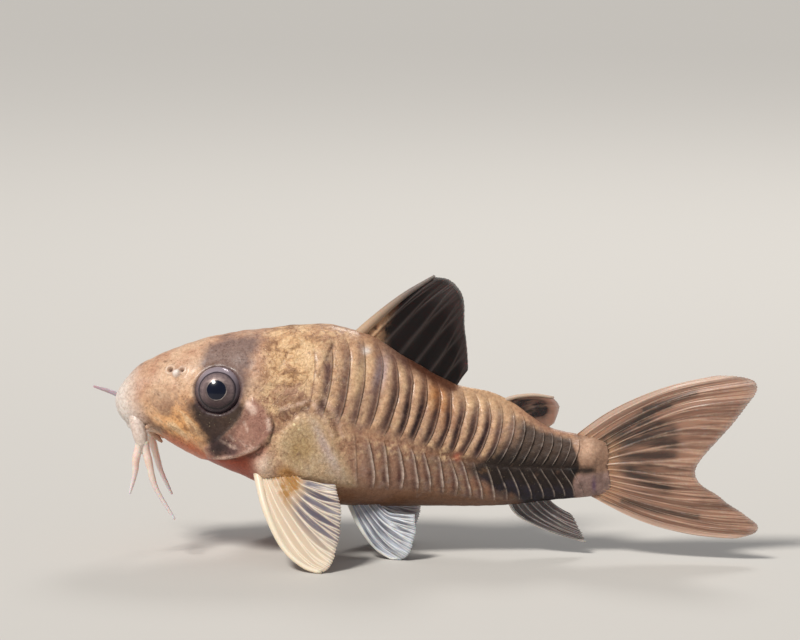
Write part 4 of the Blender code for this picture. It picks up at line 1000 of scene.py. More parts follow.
def addSkinPart(name, side):
    # a small fleshy piece of the mouth, coloured like the snout
    piece = skin[name]
    count = 24
    line = curveThrough(piece["points"], count)
    line = place(line[:, 0], side * line[:, 1], line[:, 2])
    radii = curveThrough([(radius, 0, 0) for radius in piece["radii"]], count)[:, 0]
    obj = tube(name, line, radii)
    for label, value in (("head", 1.0), ("snoutPale", piece["pale"]), ("speckled", 0.5)):
        addMask(obj, label, np.full(len(obj.data.vertices), value))
    return obj


def buildSkin():
    stations = skinStations()
    around = skin["around"]
    degrees = -90.0 + 360.0 * np.arange(around) / around
    station, turn = np.meshgrid(stations, degrees, indexing="ij")
    s = np.minimum(slanted(station, turn) + waver(station, folded(turn)), stationPlaces[-1])
    points = bodyPoints(s, turn)
    relief, masks = skinReliefAndMasks(station, s, turn, points)
    fade = smoothStep(0.0, 0.5, s)
    outer = points + bodyNormals(s, turn) * (relief * fade)[..., None]
    tips = np.vstack([bodyPoints(0.0, 0.0), outer[-1].mean(axis=0)])
    obj = wrappedGrid("catfishSkin", outer, tips)
    for name, values in masks.items():
        values = np.broadcast_to(values, station.shape)
        addMask(obj, name, np.concatenate([values.ravel(), [values[0].mean(), values[-1].mean()]]))
    extras = [addSkinPart(name, side) for side in (1, -1) for name in ("mouthStem", "lipFlap")]
    return join("catfishSkin", [obj] + extras)


def skinPatterns(tree):
    # everything that breaks up the coats, by name
    vein = useGroup(tree, veinNetwork, Pitch=1500.0, Width=0.10)
    fineVein = useGroup(tree, veinNetwork, Pitch=3200.0, Width=0.14)
    play = useGroup(tree, wetSheen, Pitch=900.0, Amount=0.75)
    return {
        "wide": noise(tree, 300.0, 3.0, 0.6), "middling": noise(tree, 850.0, 3.0, 0.6),
        "fine": noise(tree, 1900.0, 4.0, 0.62), "blotch": noise(tree, 620.0, 5.0, 0.68, 0.5),
        "vein": vein.outputs["Line"], "island": vein.outputs["Island"], "fineVein": fineVein.outputs["Line"],
        "play": play.outputs["Amount"], "playMix": play.outputs["Colour"],
        "streaks": useGroup(tree, flowStreaks, Pitch=680.0).outputs["Streak"],
        "fineStreaks": useGroup(tree, flowStreaks, Pitch=1700.0).outputs["Streak"],
        "ragged": spread(tree, noise(tree, 800.0, 5.0, 0.68), 0.3, 0.7, -0.24, 0.24),
        "broken": spread(tree, noise(tree, 1300.0, 3.0), 0.36, 0.55, 0.25, 1.0),
        "edgeShare": calc(tree, "MULTIPLY_ADD", mask(tree, "stalkDark"), -0.25, 0.75),
    }


def skinMixes(tree, tones, pattern):
    # the tones that are themselves mixed from several
    streaks = pattern["streaks"]
    rosy = spread(tree, noise(tree, 420.0, 4.0), 0.42, 0.62)
    headMix = mix(tree, tones["headTan"], tones["headRose"], rosy)
    cheek = mix(tree, tones["cheek"], tones["cheekDark"], spread(tree, streaks, 0.49, 0.60))
    cheek = mix(tree, cheek, tones["goldPale"], spread(tree, streaks, 0.46, 0.37, 0.0, 0.9))
    cheek = mix(tree, cheek, tones["cheekDark"], spread(tree, pattern["fineStreaks"], 0.53, 0.63, 0.0, 0.65))
    shield = mix(tree, tones["shield"], tones["shieldCool"], mask(tree, "shoulderCool"))
    stalk = mix(tree, tones["stalk"], tones["stalkBlack"], mask(tree, "stalkBlack"))
    navyShare = times(tree, mask(tree, "stalkNavy"), spread(tree, pattern["middling"], 0.4, 0.6))
    stalk = mix(tree, stalk, tones["navy"], navyShare)
    root = mix(tree, tones["tailRoot"], tones["rootLow"], mask(tree, "rootLow"))
    root = mix(tree, root, tones["stalk"], spread(tree, pattern["middling"], 0.50, 0.66, 0.0, 0.5))
    # painted highlight on the root of the tail
    root = mix(tree, root, tones["rootHighlight"], times(tree, mask(tree, "rootHighlight"), 0.9))
    root = mix(tree, root, tones["rootViolet"], times(tree, mask(tree, "rootViolet"), 0.8))
    return {"headMix": headMix, "cheekMix": cheek, "shieldMix": shield, "stalkMix": stalk, "rootMix": root,
            "playMix": pattern["playMix"]}


def layCoats(tree, colour, coats, tones, pattern):
    for tone, names, strength, *breaking in coats:
        parts = []
        for name in names.split():
            if name in pattern:
                parts.append(pattern[name])
            elif name.endswith("~"):
                low = 0.08 if name == "stalkDark~" else 0.15
                frayed = calc(tree, "ADD", mask(tree, name[:-1]), pattern["ragged"])
                parts.append(spread(tree, frayed, low, 0.85))
            else:
                parts.append(mask(tree, name))
        if breaking:
            parts.append(spread(tree, pattern[breaking[0]], *breaking[1:]))
        amount = times(tree, *parts, strength) if strength != 1.0 else times(tree, *parts)
        colour = mix(tree, colour, tones[tone], amount)
    return colour


def skinMaterial():
    made, tree, shader = newMaterial(
        "wetScaledSkin", Subsurface_Weight=0.06, Subsurface_Scale=0.0005, Coat_Roughness=0.16,
        Specular_IOR_Level=0.27,
    )
    shader.inputs["Subsurface Radius"].default_value = (1.0, 0.45, 0.25)
    pattern = skinPatterns(tree)
    tones = {**skin["tones"], **skinMixes(tree, skin["tones"], pattern)}
    colour = layCoats(tree, tones["flank"], skin["coats"], tones, pattern)

    speckle = useGroup(tree, pigmentSpeckle, Pitch=5400.0, Dots=0.7, Flecks=0.8)
    fewer = calc(tree, "MULTIPLY_ADD", mask(tree, "snoutPale"), -0.85, 1.0, clamp=True)
    speckled = calc(tree, "MULTIPLY_ADD", mask(tree, "speckled"), 0.5, 0.4)
    dots = times(tree, speckle.outputs["Dot"], speckled, fewer)
    colour = mix(tree, colour, tones["dot"], dots, "MULTIPLY")
    grainDark = times(tree, spread(tree, speckle.outputs["Grain"], 0.35, 0.62, 0.55, 0.0), 0.75)
    colour = mix(tree, colour, tones["dot"], grainDark, "MULTIPLY")
    bright = mask(tree, "shoulder")
    for name, share in (("network", 0.8), ("gillCover", 0.6), ("cheekGold", 0.5)):
        bright = calc(tree, "MAXIMUM", bright, times(tree, mask(tree, name), share))
    flecks = times(tree, speckle.outputs["Fleck"], calc(tree, "MULTIPLY_ADD", bright, 0.85, 0.15))
    gilding = useGroup(tree, pigmentSpeckle, Pitch=1900.0, Dots=0.0, Flecks=3.5)
    gilded = times(tree, gilding.outputs["Fleck"], mask(tree, "gilded"))
    flecks = calc(tree, "MAXIMUM", flecks, calc(tree, "MULTIPLY", gilded, 1.6, clamp=True))
    colour = mix(tree, colour, tones["fleck"], flecks)
    colour = layCoats(tree, colour, skin["lastCoats"], tones, pattern)
    feed(tree, colour, shader.inputs["Base Color"])

    fine, stalkDark = pattern["fine"], mask(tree, "stalkDark")
    rough = calc(tree, "ADD", spread(tree, fine, 0.2, 0.8, 0.32, 0.52), times(tree, stalkDark, 0.14))
    feed(tree, rough, shader.inputs["Roughness"])
    feed(tree, calc(tree, "MULTIPLY_ADD", stalkDark, -0.11, 0.14), shader.inputs["Coat Weight"])
    feed(tree, times(tree, flecks, 0.2), shader.inputs["Metallic"])
    grainHeight = calc(tree, "ADD", speckle.outputs["Grain"], times(tree, fine, 0.9))
    first = addBump(tree, shader, grainHeight, 0.00005, 0.6)
    lines = times(tree, pattern["vein"], mask(tree, "network"))
    carved = calc(tree, "SUBTRACT", noise(tree, 3000.0, 3.0, 0.5, 0.8), lines)
    addBump(tree, shader, carved, 0.00005, 0.5, first)
    return made


catfishSkin = buildSkin()
catfishSkin.data.materials.append(skinMaterial())
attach(catfishSkin, "root")
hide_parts("head", "torso", "tail")
print("skin:", len(catfishSkin.data.polygons), "faces")


# The eyes: one glossy ball each, its pupil and rings coloured by the distance from its axis

eye = {
    "rings": 60,
    "around": 72,
    "bulge": (0.035, 0.62),  # how far the clear front stands out and how wide it is
    "seenRadius": 1.78,
    # the rings from the pupil outwards: where each lies and its colour
    "bands": (
        (0.0, (0.002, 0.004, 0.014)), (0.42, (0.003, 0.005, 0.018)), (0.435, (0.50, 0.43, 0.40)),
        (0.458, (0.34, 0.27, 0.25)), (0.480, (0.170, 0.120, 0.122)), (0.66, (0.215, 0.155, 0.165)),
        (0.78, (0.125, 0.090, 0.102)), (0.82, (0.018, 0.013, 0.020)), (0.86, (0.190, 0.150, 0.175)),
        (0.985, (0.150, 0.118, 0.138)),
    ),
    # the tones laid by lift: painted shade below, painted highlights above
    "tones": {"iris": (0.46, 0.34, 0.32), "ringGap": (0.09, 0.065, 0.075), "shade": (0.16, 0.11, 0.13),
              "eyeHighlight": (0.80, 0.62, 0.58), "litBrow": (0.46, 0.38, 0.43)},
}


def buildEye(name, node, side, look):
    centre, axis = eyeAxis(side)
    rings, around = eye["rings"], eye["around"]
    aside = np.cross(axis, [0.0, 0.0, 1.0])
    aside /= np.linalg.norm(aside)
    upward = np.cross(aside, axis)
    polar = np.pi * (np.arange(rings) + 1) / (rings + 1)
    turn = 2 * np.pi * np.arange(around) / around
    more, wide = eye["bulge"]
    radius = body["eyeRadius"] * (1.0 + more * np.exp(-((polar / wide) ** 2)))
    circle = np.cos(turn)[:, None] * aside + np.sin(turn)[:, None] * upward
    ahead, outward = (radius * np.cos(polar))[:, None, None], (radius * np.sin(polar))[:, None, None]
    grid = centre + ahead * axis + outward * circle
    tips = np.vstack([centre + axis * body["eyeRadius"] * (1.0 + more), centre - axis * body["eyeRadius"]])
    obj = wrappedGrid(name, grid, tips)
    reach = np.where(polar < np.pi / 2, np.sin(polar) * body["eyeRadius"] / eye["seenRadius"], 1.3)
    addMask(obj, "reach", np.concatenate([np.repeat(reach, around), [0.0, 1.3]]))
    lift = np.sin(turn)[None, :] * np.minimum(reach, 1.0)[:, None]
    addMask(obj, "lift", np.concatenate([lift.ravel(), [0.0, 0.0]]))
    obj.data.materials.append(look)
    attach(obj, "root")
    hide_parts(node)


def eyeMaterial():
    tones = eye["tones"]
    made, tree, shader = newMaterial(
        "wetEye", Roughness=0.22, Coat_Weight=0.45, Coat_Roughness=0.03, Specular_IOR_Level=0.2
    )
    uneven = spread(tree, noise(tree, 2200.0, 3.0, 0.6), 0.2, 0.8, -0.018, 0.018)
    reach, lift = calc(tree, "ADD", mask(tree, "reach"), uneven), mask(tree, "lift")
    mottled = spread(tree, noise(tree, 3800.0, 4.0, 0.7), 0.35, 0.7)
    broken = spread(tree, noise(tree, 1400.0, 3.0, 0.6), 0.42, 0.56)
    onRings = spread(tree, reach, 0.44, 0.46)
    onIris = times(tree, spread(tree, reach, 0.47, 0.52), spread(tree, reach, 0.80, 0.74))
    paleRing = times(tree, spread(tree, reach, 0.415, 0.43), spread(tree, reach, 0.475, 0.455))
    # by lift: painted shade on the lower half, a painted highlight above the pupil, and a lighter top to the
    # outer ring, also painted highlight
    under = spread(tree, lift, 0.15, -0.6, 0.0, 0.9)
    over = times(tree, spread(tree, lift, 0.28, 0.46), spread(tree, reach, 0.62, 0.50))
    litBrow = times(tree, spread(tree, reach, 0.83, 0.87), spread(tree, lift, 0.25, 0.75, 0.0, 0.75))
    colour = ramp(tree, reach, eye["bands"])
    colour = mix(tree, colour, tones["iris"], times(tree, onIris, mottled, 0.6))
    colour = mix(tree, colour, tones["ringGap"], times(tree, paleRing, broken, 0.85))
    colour = mix(tree, colour, tones["shade"], times(tree, onRings, under), "MULTIPLY")
    eyeHighlight = times(tree, onRings, over, spread(tree, mottled, 0.0, 1.0, 0.25, 0.85))
    colour = mix(tree, colour, tones["eyeHighlight"], eyeHighlight)
    colour = mix(tree, colour, tones["litBrow"], litBrow)
    feed(tree, colour, shader.inputs["Base Color"])
    feed(tree, times(tree, spread(tree, reach, 0.41, 0.44), 0.35), shader.inputs["Metallic"])
    return made


wetEye = eyeMaterial()
buildEye("leftEyeball", "left_eye", 1, wetEye)
buildEye("rightEyeball", "right_eye", -1, wetEye)
print("eyes built")


# The fins: thin sheets through guide rays from the leading to the trailing one, each guide a few points
# from root to margin as distance along the body, distance to the left and height

def onSide(guides, side):
    return [[(x, side * left, z) for x, left, z in guide] for guide in guides]


def turnedAbout(guides, degrees, centre):
    # guide rays swung about an upright line
    c, s = math.cos(math.radians(degrees)), math.sin(math.radians(degrees))

    def swung(x, left, z):
        x, left = x - centre[0], left - centre[1]
        return centre[0] + c * x - s * left, centre[1] + s * x + c * left, z

    return [[swung(*point) for point in guide] for guide in guides]


def nowhere(along, across, s, h):
    return 0 * along


# What a fin has unless it says otherwise. Its dark, warm and pale parts come from the shares along it from
# the root and across it from the leading edge, and from the place. Strokes are dark, as on the skin.
finUsual = {
    "splits": 2, "spine": None, "pleat": 0.05, "ragged": 0.03, "sheen": 0.2, "roundTips": 0.0, "smoke": 0.3,
    "alpha": (0.92, 1.0), "gloss": (0.12, 0.3), "patchy": (0.36, 0.58), "strokes": (),
    "dark": nowhere, "warm": nowhere, "pale": nowhere,
}
pectoralGuides = (
    ((11.5, 3.8, 7.5), (12.3, 6.0, 4.6), (13.7, 7.7, 1.9), (15.3, 8.8, 0.55), (16.8, 9.4, 0.05)),
    ((12.0, 3.9, 7.6), (13.3, 6.1, 5.0), (15.0, 7.7, 2.6), (16.3, 8.6, 1.2), (17.5, 9.1, 0.5)),
    ((12.8, 4.0, 7.7), (14.1, 6.0, 5.6), (15.6, 7.2, 4.0), (17.0, 7.9, 3.0), (18.2, 8.4, 2.3)),
    ((13.5, 4.1, 7.7), (14.8, 5.7, 6.2), (16.1, 6.6, 5.4), (17.3, 7.1, 4.9), (18.4, 7.5, 4.6)),
    ((14.1, 4.2, 7.7), (15.1, 5.4, 6.9), (16.0, 5.9, 6.8), (17.0, 6.3, 6.7), (17.9, 6.6, 6.7)),
)
pelvicGuides = (
    ((18.6, 1.7, 4.9), (19.8, 2.9, 2.5), (21.1, 3.5, 0.85), (22.9, 4.0, -0.15)),
    ((19.3, 1.8, 4.9), (20.8, 3.1, 2.9), (22.2, 3.8, 1.5), (23.9, 4.3, 0.55)),
    ((20.0, 1.8, 4.9), (21.6, 3.1, 3.3), (23.0, 3.9, 2.7), (24.5, 4.5, 2.3)),
    ((20.6, 1.8, 4.9), (22.0, 3.0, 3.8), (23.2, 3.6, 3.7), (24.4, 4.2, 3.8)),
)

fins = {
    "dorsalFin": {
        "nodes": ("dorsal_fin",), "slot": "blackish_fin", "rays": 8, "rows": 80, "perRay": 20,
        "guides": (
            ((18.4, 0, 16.4), (20.6, 0, 18.6), (23.2, 0, 20.8), (25.8, -0.1, 22.5)),
            ((20.4, 0, 15.9), (22.6, 0, 18.3), (24.8, 0, 20.5), (27.0, -0.1, 22.2)),
            ((23.2, 0, 15.0), (25.0, 0, 17.4), (26.6, 0.1, 19.4), (28.1, 0.1, 21.0)),
            ((25.2, 0, 13.8), (26.4, 0, 15.4), (27.4, 0.1, 16.9), (28.3, 0.2, 18.3)),
            ((27.0, 0, 12.6), (27.5, 0, 13.4), (28.0, 0, 14.2), (28.6, 0.1, 15.0)),
        ),
        "rayThick": (0.26, 0.10), "spine": (0.52, 0.12), "pleat": 0.06, "ragged": 0.012, "sheen": 0.0,
        "roundTips": 0.03, "alpha": (0.985, 1.0), "gloss": (0.03, 0.13),
        "tones": {"membrane": (0.010, 0.008, 0.008), "ray": (0.042, 0.032, 0.030),
                  "dark": (0.005, 0.004, 0.004),
                  "warm": (0.46, 0.29, 0.17), "spine": (0.50, 0.35, 0.24), "spineTip": (0.20, 0.165, 0.15),
                  "pale": (0.06, 0.05, 0.048)},
        "dark": lambda along, across, s, h: 0.6 * smoothStep(0.35, 0.7, across),
        "warm": lambda along, across, s, h: 1.4 * smoothStep(0.74, 0.46, along + 1.7 * across),
        "pale": lambda along, across, s, h: 0.7 * smoothStep(0.6, 1.0, along),
    },
    "adiposeFin": {
        "nodes": ("adipose_fin",), "slot": "grey_fin", "rays": 3, "splits": 0, "rows": 50, "perRay": 22,
        "guides": (
            ((30.8, 0, 12.1), (32.2, 0, 12.75), (33.9, 0, 13.0), (35.5, 0, 12.85)),
            ((32.6, 0, 11.2), (33.7, 0, 11.9), (34.8, 0, 12.2), (36.0, 0, 12.1)),
            ((34.6, 0, 9.8), (34.9, 0, 10.2), (35.2, 0, 10.5), (35.6, 0, 10.8)),
        ),
        "rayThick": (0.14, 0.10), "spine": (0.20, 0.10), "pleat": 0.0, "ragged": 0.02, "sheen": 0.05,
        "roundTips": 0.05, "smoke": 0.4, "alpha": (0.90, 0.97), "gloss": (0.05, 0.18),
        "tones": {"membrane": (0.30, 0.175, 0.125), "ray": (0.34, 0.205, 0.150),
                  "dark": (0.014, 0.009, 0.009),
                  "warm": (0.55, 0.33, 0.18), "spine": (0.52, 0.39, 0.30), "pale": (0.42, 0.31, 0.27)},
        "warm": lambda along, across, s, h: 0.7 * smoothStep(0.14, 0.0, along),
        "pale": lambda along, across, s, h: smoothStep(0.85, 1.0, along),
        "strokes": (((32.4, 11.9), (34.3, 11.95), 0.62, 3.2),),
    },
    "tailFin": {
        "nodes": ("upper_tail_fin", "lower_tail_fin"), "slot": "tan_fin",
        "rays": 20, "rows": 120, "perRay": 14,
        "guides": (
            ((36.0, 0, 8.8), (40.0, 0, 11.85), (44.6, 0, 14.0), (50.0, -0.2, 15.35)),
            ((37.6, 0, 8.4), (41.6, 0, 11.1), (46.2, 0.1, 13.2), (52.0, 0.0, 14.3)),
            ((39.0, 0, 8.2), (42.4, 0, 9.9), (46.2, 0.3, 11.2), (50.3, 0.3, 11.5)),
            ((39.4, 0, 7.3), (41.9, 0, 7.35), (44.5, 0.4, 7.35), (47.1, 0.5, 7.3)),
            ((39.0, 0, 6.2), (42.4, 0, 5.5), (45.9, 0.3, 5.1), (49.4, 0.4, 5.0)),
            ((38.2, 0, 5.8), (43.2, 0, 4.1), (47.8, 0.1, 3.2), (52.1, 0.1, 3.0)),
            ((37.0, 0, 5.7), (42.2, 0, 3.2), (46.6, 0, 2.1), (51.4, -0.1, 1.8)),
        ),
        "rayThick": (0.20, 0.08), "ragged": 0.010, "sheen": 0.12, "roundTips": 0.085, "smoke": 0.85,
        "alpha": (0.86, 1.0),
        "tones": {"membrane": (0.345, 0.190, 0.125), "ray": (0.51, 0.325, 0.235),
                  "dark": (0.050, 0.032, 0.024),
                  "warm": (0.50, 0.285, 0.160), "spine": (0.6, 0.5, 0.4), "pale": (0.60, 0.44, 0.35)},
        "strokes": (
            ((39.5, 9.55), (41.7, 10.9), (43.5, 11.9), 0.30, 1.5),
            ((39.7, 9.35), (42.3, 10.3), (44.9, 10.7), 0.34, 1.5),
            ((39.8, 8.95), (42.3, 9.5), (45.1, 9.6), 0.34, 1.5),
            ((42.6, 11.0), (43.9, 10.9), (45.1, 10.6), 0.60, 1.2),
            ((43.0, 9.8), (44.2, 9.7), (45.2, 9.5), 0.60, 1.2),
            ((42.9, 12.1), (45.0, 12.9), (47.0, 13.6), 0.24, 1.2),
            ((42.5, 11.6), (44.9, 12.5), 0.30, 1.0), ((40.3, 8.1), (42.5, 8.3), (45.2, 8.5), 0.50, 1.1),
            ((41.8, 7.0), (43.1, 6.4), (44.6, 5.9), 0.65, 1.1),
            ((41.2, 4.6), (44.0, 3.85), (47.2, 3.55), 0.26, 1.3),
            ((39.4, 4.6), (41.2, 4.0), 0.10, 0.7), ((47.8, 5.2), (49.6, 4.7), 0.5, 0.4),
            ((40.0, 7.2), (43.0, 7.3), 0.5, 0.4),
        ),
        "pale": lambda along, across, s, h: np.maximum(
            smoothStep(0.10, 0.02, across), 0.8 * smoothStep(0.92, 0.99, across)),
        "dark": lambda along, across, s, h: 0.9 * spot(s, h, (43.6, 8.6), (2.2, 3.0)),
        "warm": lambda along, across, s, h: smoothStep(0.26, 0.1, along) * 0.7,
    },
    "analFin": {
        "nodes": ("anal_fin",), "slot": "cream_fin", "rays": 7, "splits": 1, "rows": 60, "perRay": 16,
        "guides": (
            ((31.6, 0, 4.9), (32.6, 0, 3.2), (35.2, -0.2, 1.9), (38.1, -0.3, 1.1)),
            ((33.0, 0, 5.0), (34.4, 0, 3.5), (36.2, 0.0, 2.4), (38.0, 0.0, 1.7)),
            ((34.6, 0, 5.2), (35.4, 0, 4.3), (36.2, 0.1, 3.8), (37.1, 0.2, 3.4)),
        ),
        "rayThick": (0.20, 0.10), "spine": (0.17, 0.09), "ragged": 0.05, "sheen": 0.25, "roundTips": 0.03,
        "smoke": 0.5, "alpha": (0.86, 1.0),
        "tones": {"membrane": (0.115, 0.095, 0.09), "ray": (0.38, 0.345, 0.345),
                  "dark": (0.030, 0.026, 0.032),
                  "warm": (0.50, 0.32, 0.20), "spine": (0.70, 0.62, 0.58), "pale": (0.6, 0.58, 0.6)},
        "dark": lambda along, across, s, h: 0.7 * bump(along, 0.5, 0.3),
        "warm": lambda along, across, s, h: smoothStep(0.2, 0.0, along),
    },
}
for side, word, swing in ((1, "left", 0.0), (-1, "right", 8.0)):
    fins[word + "PectoralFin"] = {
        "nodes": (word + "_pectoral_fin",), "slot": "cream_fin", "rays": 10, "rows": 90, "perRay": 20,
        "guides": onSide(turnedAbout(pectoralGuides, swing, (12.5, 4.3)), side),
        "rayThick": (0.22, 0.11), "spine": (0.36, 0.13), "pleat": 0.06, "smoke": 0.15, "patchy": (0.24, 0.50),
        "tones": {"membrane": (0.70, 0.555, 0.42), "ray": (0.88, 0.76, 0.62), "dark": (0.120, 0.105, 0.135),
                  "warm": (0.42, 0.225, 0.075), "spine": (0.86, 0.72, 0.56), "pale": (0.9, 0.8, 0.7)},
        "dark": lambda along, across, s, h: smoothStep(0.28, 0.52, across) * smoothStep(0.20, 0.44, along),
        "warm": lambda along, across, s, h: (
            1.5 * smoothStep(0.40, 0.20, along) * smoothStep(0.25, 0.50, across)),
    }
    fins[word + "PelvicFin"] = {
        "nodes": (word + "_pelvic_fin",), "slot": "bluish_fin", "rays": 8, "rows": 70, "perRay": 18,
        "guides": onSide(pelvicGuides, side),
        "rayThick": (0.24, 0.10), "spine": (0.20, 0.09), "sheen": 0.3, "smoke": 0.25,
        "tones": {"membrane": (0.50, 0.54, 0.63), "ray": (0.84, 0.87, 0.92), "dark": (0.030, 0.030, 0.042),
                  "warm": (0.62, 0.40, 0.16), "spine": (0.84, 0.80, 0.76), "pale": (0.85, 0.85, 0.88)},
        "dark": lambda along, across, s, h: 0.75 * smoothStep(0.12, 0.3, along) * smoothStep(1.1, 0.8, along),
        "warm": lambda along, across, s, h: smoothStep(0.25, 0.05, along) * smoothStep(0.4, 0.8, across),
    }


def finGrid(guides, rows, columns):
    lengths = np.array([curveThrough(guide, rows) for guide in np.asarray(guides, float)])
    return np.array([curveThrough(lengths[:, i], columns) for i in range(rows)])


def rayPattern(fin, along, across):
    # how near each point lies to a ray or one of its branches
    off = across * (fin["rays"] - 1)
    off = np.abs(off - np.round(off))
    first = 0.25 * smoothStep(0.30, 1.0, along) if fin["splits"] else 0.0
    second = 0.11 * smoothStep(0.58, 1.05, along) if fin["splits"] > 1 else 0.0
    width = 0.15 - 0.075 * smoothStep(0.1, 0.8, along)
    return np.maximum(bump(off, first - second, width), bump(off, first + second, width))


def buildFin(name, fin):
    rows, columns = fin["rows"], (fin["rays"] - 1) * fin["perRay"] + 1
    spacing = fin["rays"] - 1
    sheet = finGrid(fin["guides"], rows, columns)
    along, across = np.meshgrid(np.linspace(0, 1, rows), np.linspace(0, 1, columns), indexing="ij")
    pattern = rayPattern(fin, along, across)

    draw = random.Random(len(name) * 7 + fin["rays"])
    perRay = np.array([draw.uniform(0, 1) for _ in range(fin["rays"])])
    perRay = perRay[np.round(across[0] * spacing).astype(int)]
    reach = 1.0 - fin["ragged"] * (0.55 * (1 - pattern[-1]) + 0.45 * perRay)
    reach = reach - fin["roundTips"] * (np.exp(-across[0] / 0.035) + np.exp(-(1 - across[0]) / 0.035))
    spots = along * reach * (rows - 1)
    low = np.clip(spots.astype(int), 0, rows - 2)
    part = (spots - low)[..., None]
    column = np.arange(columns)[None, :]
    sheet = sheet[low, column] * (1 - part) + sheet[low + 1, column] * part

    grid = place(sheet[..., 0], sheet[..., 1], sheet[..., 2])
    normal = np.cross(np.gradient(grid, axis=0), np.gradient(grid, axis=1))
    normal /= np.maximum(np.linalg.norm(normal, axis=-1, keepdims=True), 1e-9)
    fold = fin["pleat"] * np.cos(np.pi * across * spacing) * smoothStep(0.02, 0.25, along)
    fold = fold + 1.2 * fin["pleat"] * ripple(across * 9, along * 3, fin["rays"], 0.9) * along
    grid = grid + normal * fold[..., None]
    thick = fin["rayThick"][0] + (fin["rayThick"][1] - fin["rayThick"][0]) * along
    joints = 1.0 + 0.05 * np.sin(along * 150.0) * smoothStep(0.25, 0.4, along)
    thickness = 0.10 - 0.04 * along + np.maximum(pattern * thick * joints - 0.05, 0.0)
    grid[..., 2] = np.maximum(grid[..., 2], thickness / 2 + 0.02)
    obj = sheetSolid(name, grid, thickness)

    s, height = sheet[..., 0], sheet[..., 2]
    masks = {"ray": pattern, "along": along, "across": across, "spine": 0 * along}
    for label in ("dark", "warm", "pale"):
        masks[label] = fin[label](along, across, s, height)
    masks["stroke"] = strokes(fin["strokes"], s, height)
    for label, values in masks.items():
        addMask(obj, label, np.tile(np.broadcast_to(values, along.shape).ravel(), 2))
    if fin["spine"]:
        obj = join(name, [obj, buildSpine(name, fin)])
    obj.data.materials.append(finMaterial(name, fin))
    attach(obj, "root")
    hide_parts(*fin["nodes"])


def buildSpine(name, fin):
    # the stout first ray
    count, sides = 60, 14
    line = curveThrough(np.asarray(fin["guides"][0], float), count)
    line = place(line[:, 0], line[:, 1], line[:, 2])
    share = np.linspace(0, 1, count)
    radii = fin["spine"][0] + (fin["spine"][1] - fin["spine"][0]) * share
    line[:, 2] = np.maximum(line[:, 2], radii + 0.02)
    obj = tube(name + "Spine", line, radii, sides)
    along = np.concatenate([np.repeat(share, sides), [0.0, 1.0]])
    for label, values in (("ray", 1 + 0 * along), ("along", along), ("spine", 1 + 0 * along)):
        addMask(obj, label, values)
    return obj


def finMaterial(name, fin):
    tones = {"smoke": (0.42, 0.38, 0.38), "spineTip": fin["tones"]["spine"], **fin["tones"]}
    coat, specular = fin["gloss"]
    made, tree, shader = newMaterial(
        name + "Film", Roughness=0.42, Coat_Weight=coat, Coat_Roughness=0.2, Subsurface_Weight=0.15,
        Subsurface_Scale=0.0004, Specular_IOR_Level=specular,
    )
    ray, along, across = mask(tree, "ray"), mask(tree, "along"), mask(tree, "across")
    flow = addNode(tree, "ShaderNodeCombineXYZ")
    feed(tree, times(tree, across, float(fin["rays"])), flow.inputs[0])
    feed(tree, along, flow.inputs[1])
    streak = noise(tree, 1.7, 4.0, 0.6, 0.15, flow.outputs[0])
    mottle = noise(tree, 900.0, 4.0, 0.6)
    between = calc(tree, "SUBTRACT", 1.0, ray, clamp=True)

    colour = mix(tree, tones["membrane"], tones["ray"], ray)
    smoke = times(tree, spread(tree, streak, 0.47, 0.64), fin["smoke"])
    colour = mix(tree, colour, tones["smoke"], smoke, "MULTIPLY")
    dark = times(tree, mask(tree, "dark"), spread(tree, streak, *fin["patchy"]),
                 calc(tree, "MULTIPLY_ADD", between, 0.75, 0.25))
    colour = mix(tree, colour, tones["dark"], dark)
    colour = mix(tree, colour, tones["pale"], times(tree, mask(tree, "pale"), 0.8))
    halved = calc(tree, "MULTIPLY_ADD", between, 0.5, 0.5)
    brushed = calc(tree, "MULTIPLY", mask(tree, "stroke"), halved, clamp=True)
    brushed = times(tree, brushed, spread(tree, streak, 0.30, 0.52, 0.45, 1.0))
    colour = mix(tree, colour, tones["dark"], brushed)
    colour = mix(tree, colour, tones["warm"], times(tree, mask(tree, "warm"), spread(tree, mottle, 0.3, 0.6)))
    spine = mix(tree, tones["spine"], tones["spineTip"], spread(tree, along, 0.3, 0.75))
    colour = mix(tree, colour, spine, mask(tree, "spine"))
    # painted sheen on the rays
    play = useGroup(tree, wetSheen, Pitch=1400.0, Amount=fin["sheen"])
    colour = mix(tree, colour, play.outputs["Colour"], times(tree, play.outputs["Amount"], ray))
    feed(tree, colour, shader.inputs["Base Color"])

    # the film thins from the root to the margin, between the rays
    solid = calc(tree, "MAXIMUM", ray, times(tree, dark, 0.8))
    solid = calc(tree, "MAXIMUM", solid, spread(tree, along, 0.25, 0.0))
    solid = spread(tree, solid, 0.0, 1.0, *fin["alpha"])
    feed(tree, times(tree, solid, spread(tree, along, 0.94, 1.0, 1.0, 0.55)), shader.inputs["Alpha"])
    banding = times(tree, calc(tree, "SINE", times(tree, along, 210.0)), ray, 0.18)
    addBump(tree, shader, calc(tree, "MULTIPLY_ADD", mottle, 1.2, banding), 0.00003, 0.5)
    return made


for name, fin in fins.items():
    buildFin(name, {**finUsual, **fin})
print("fins built:", len(fins))


# The feelers at the corners of the mouth

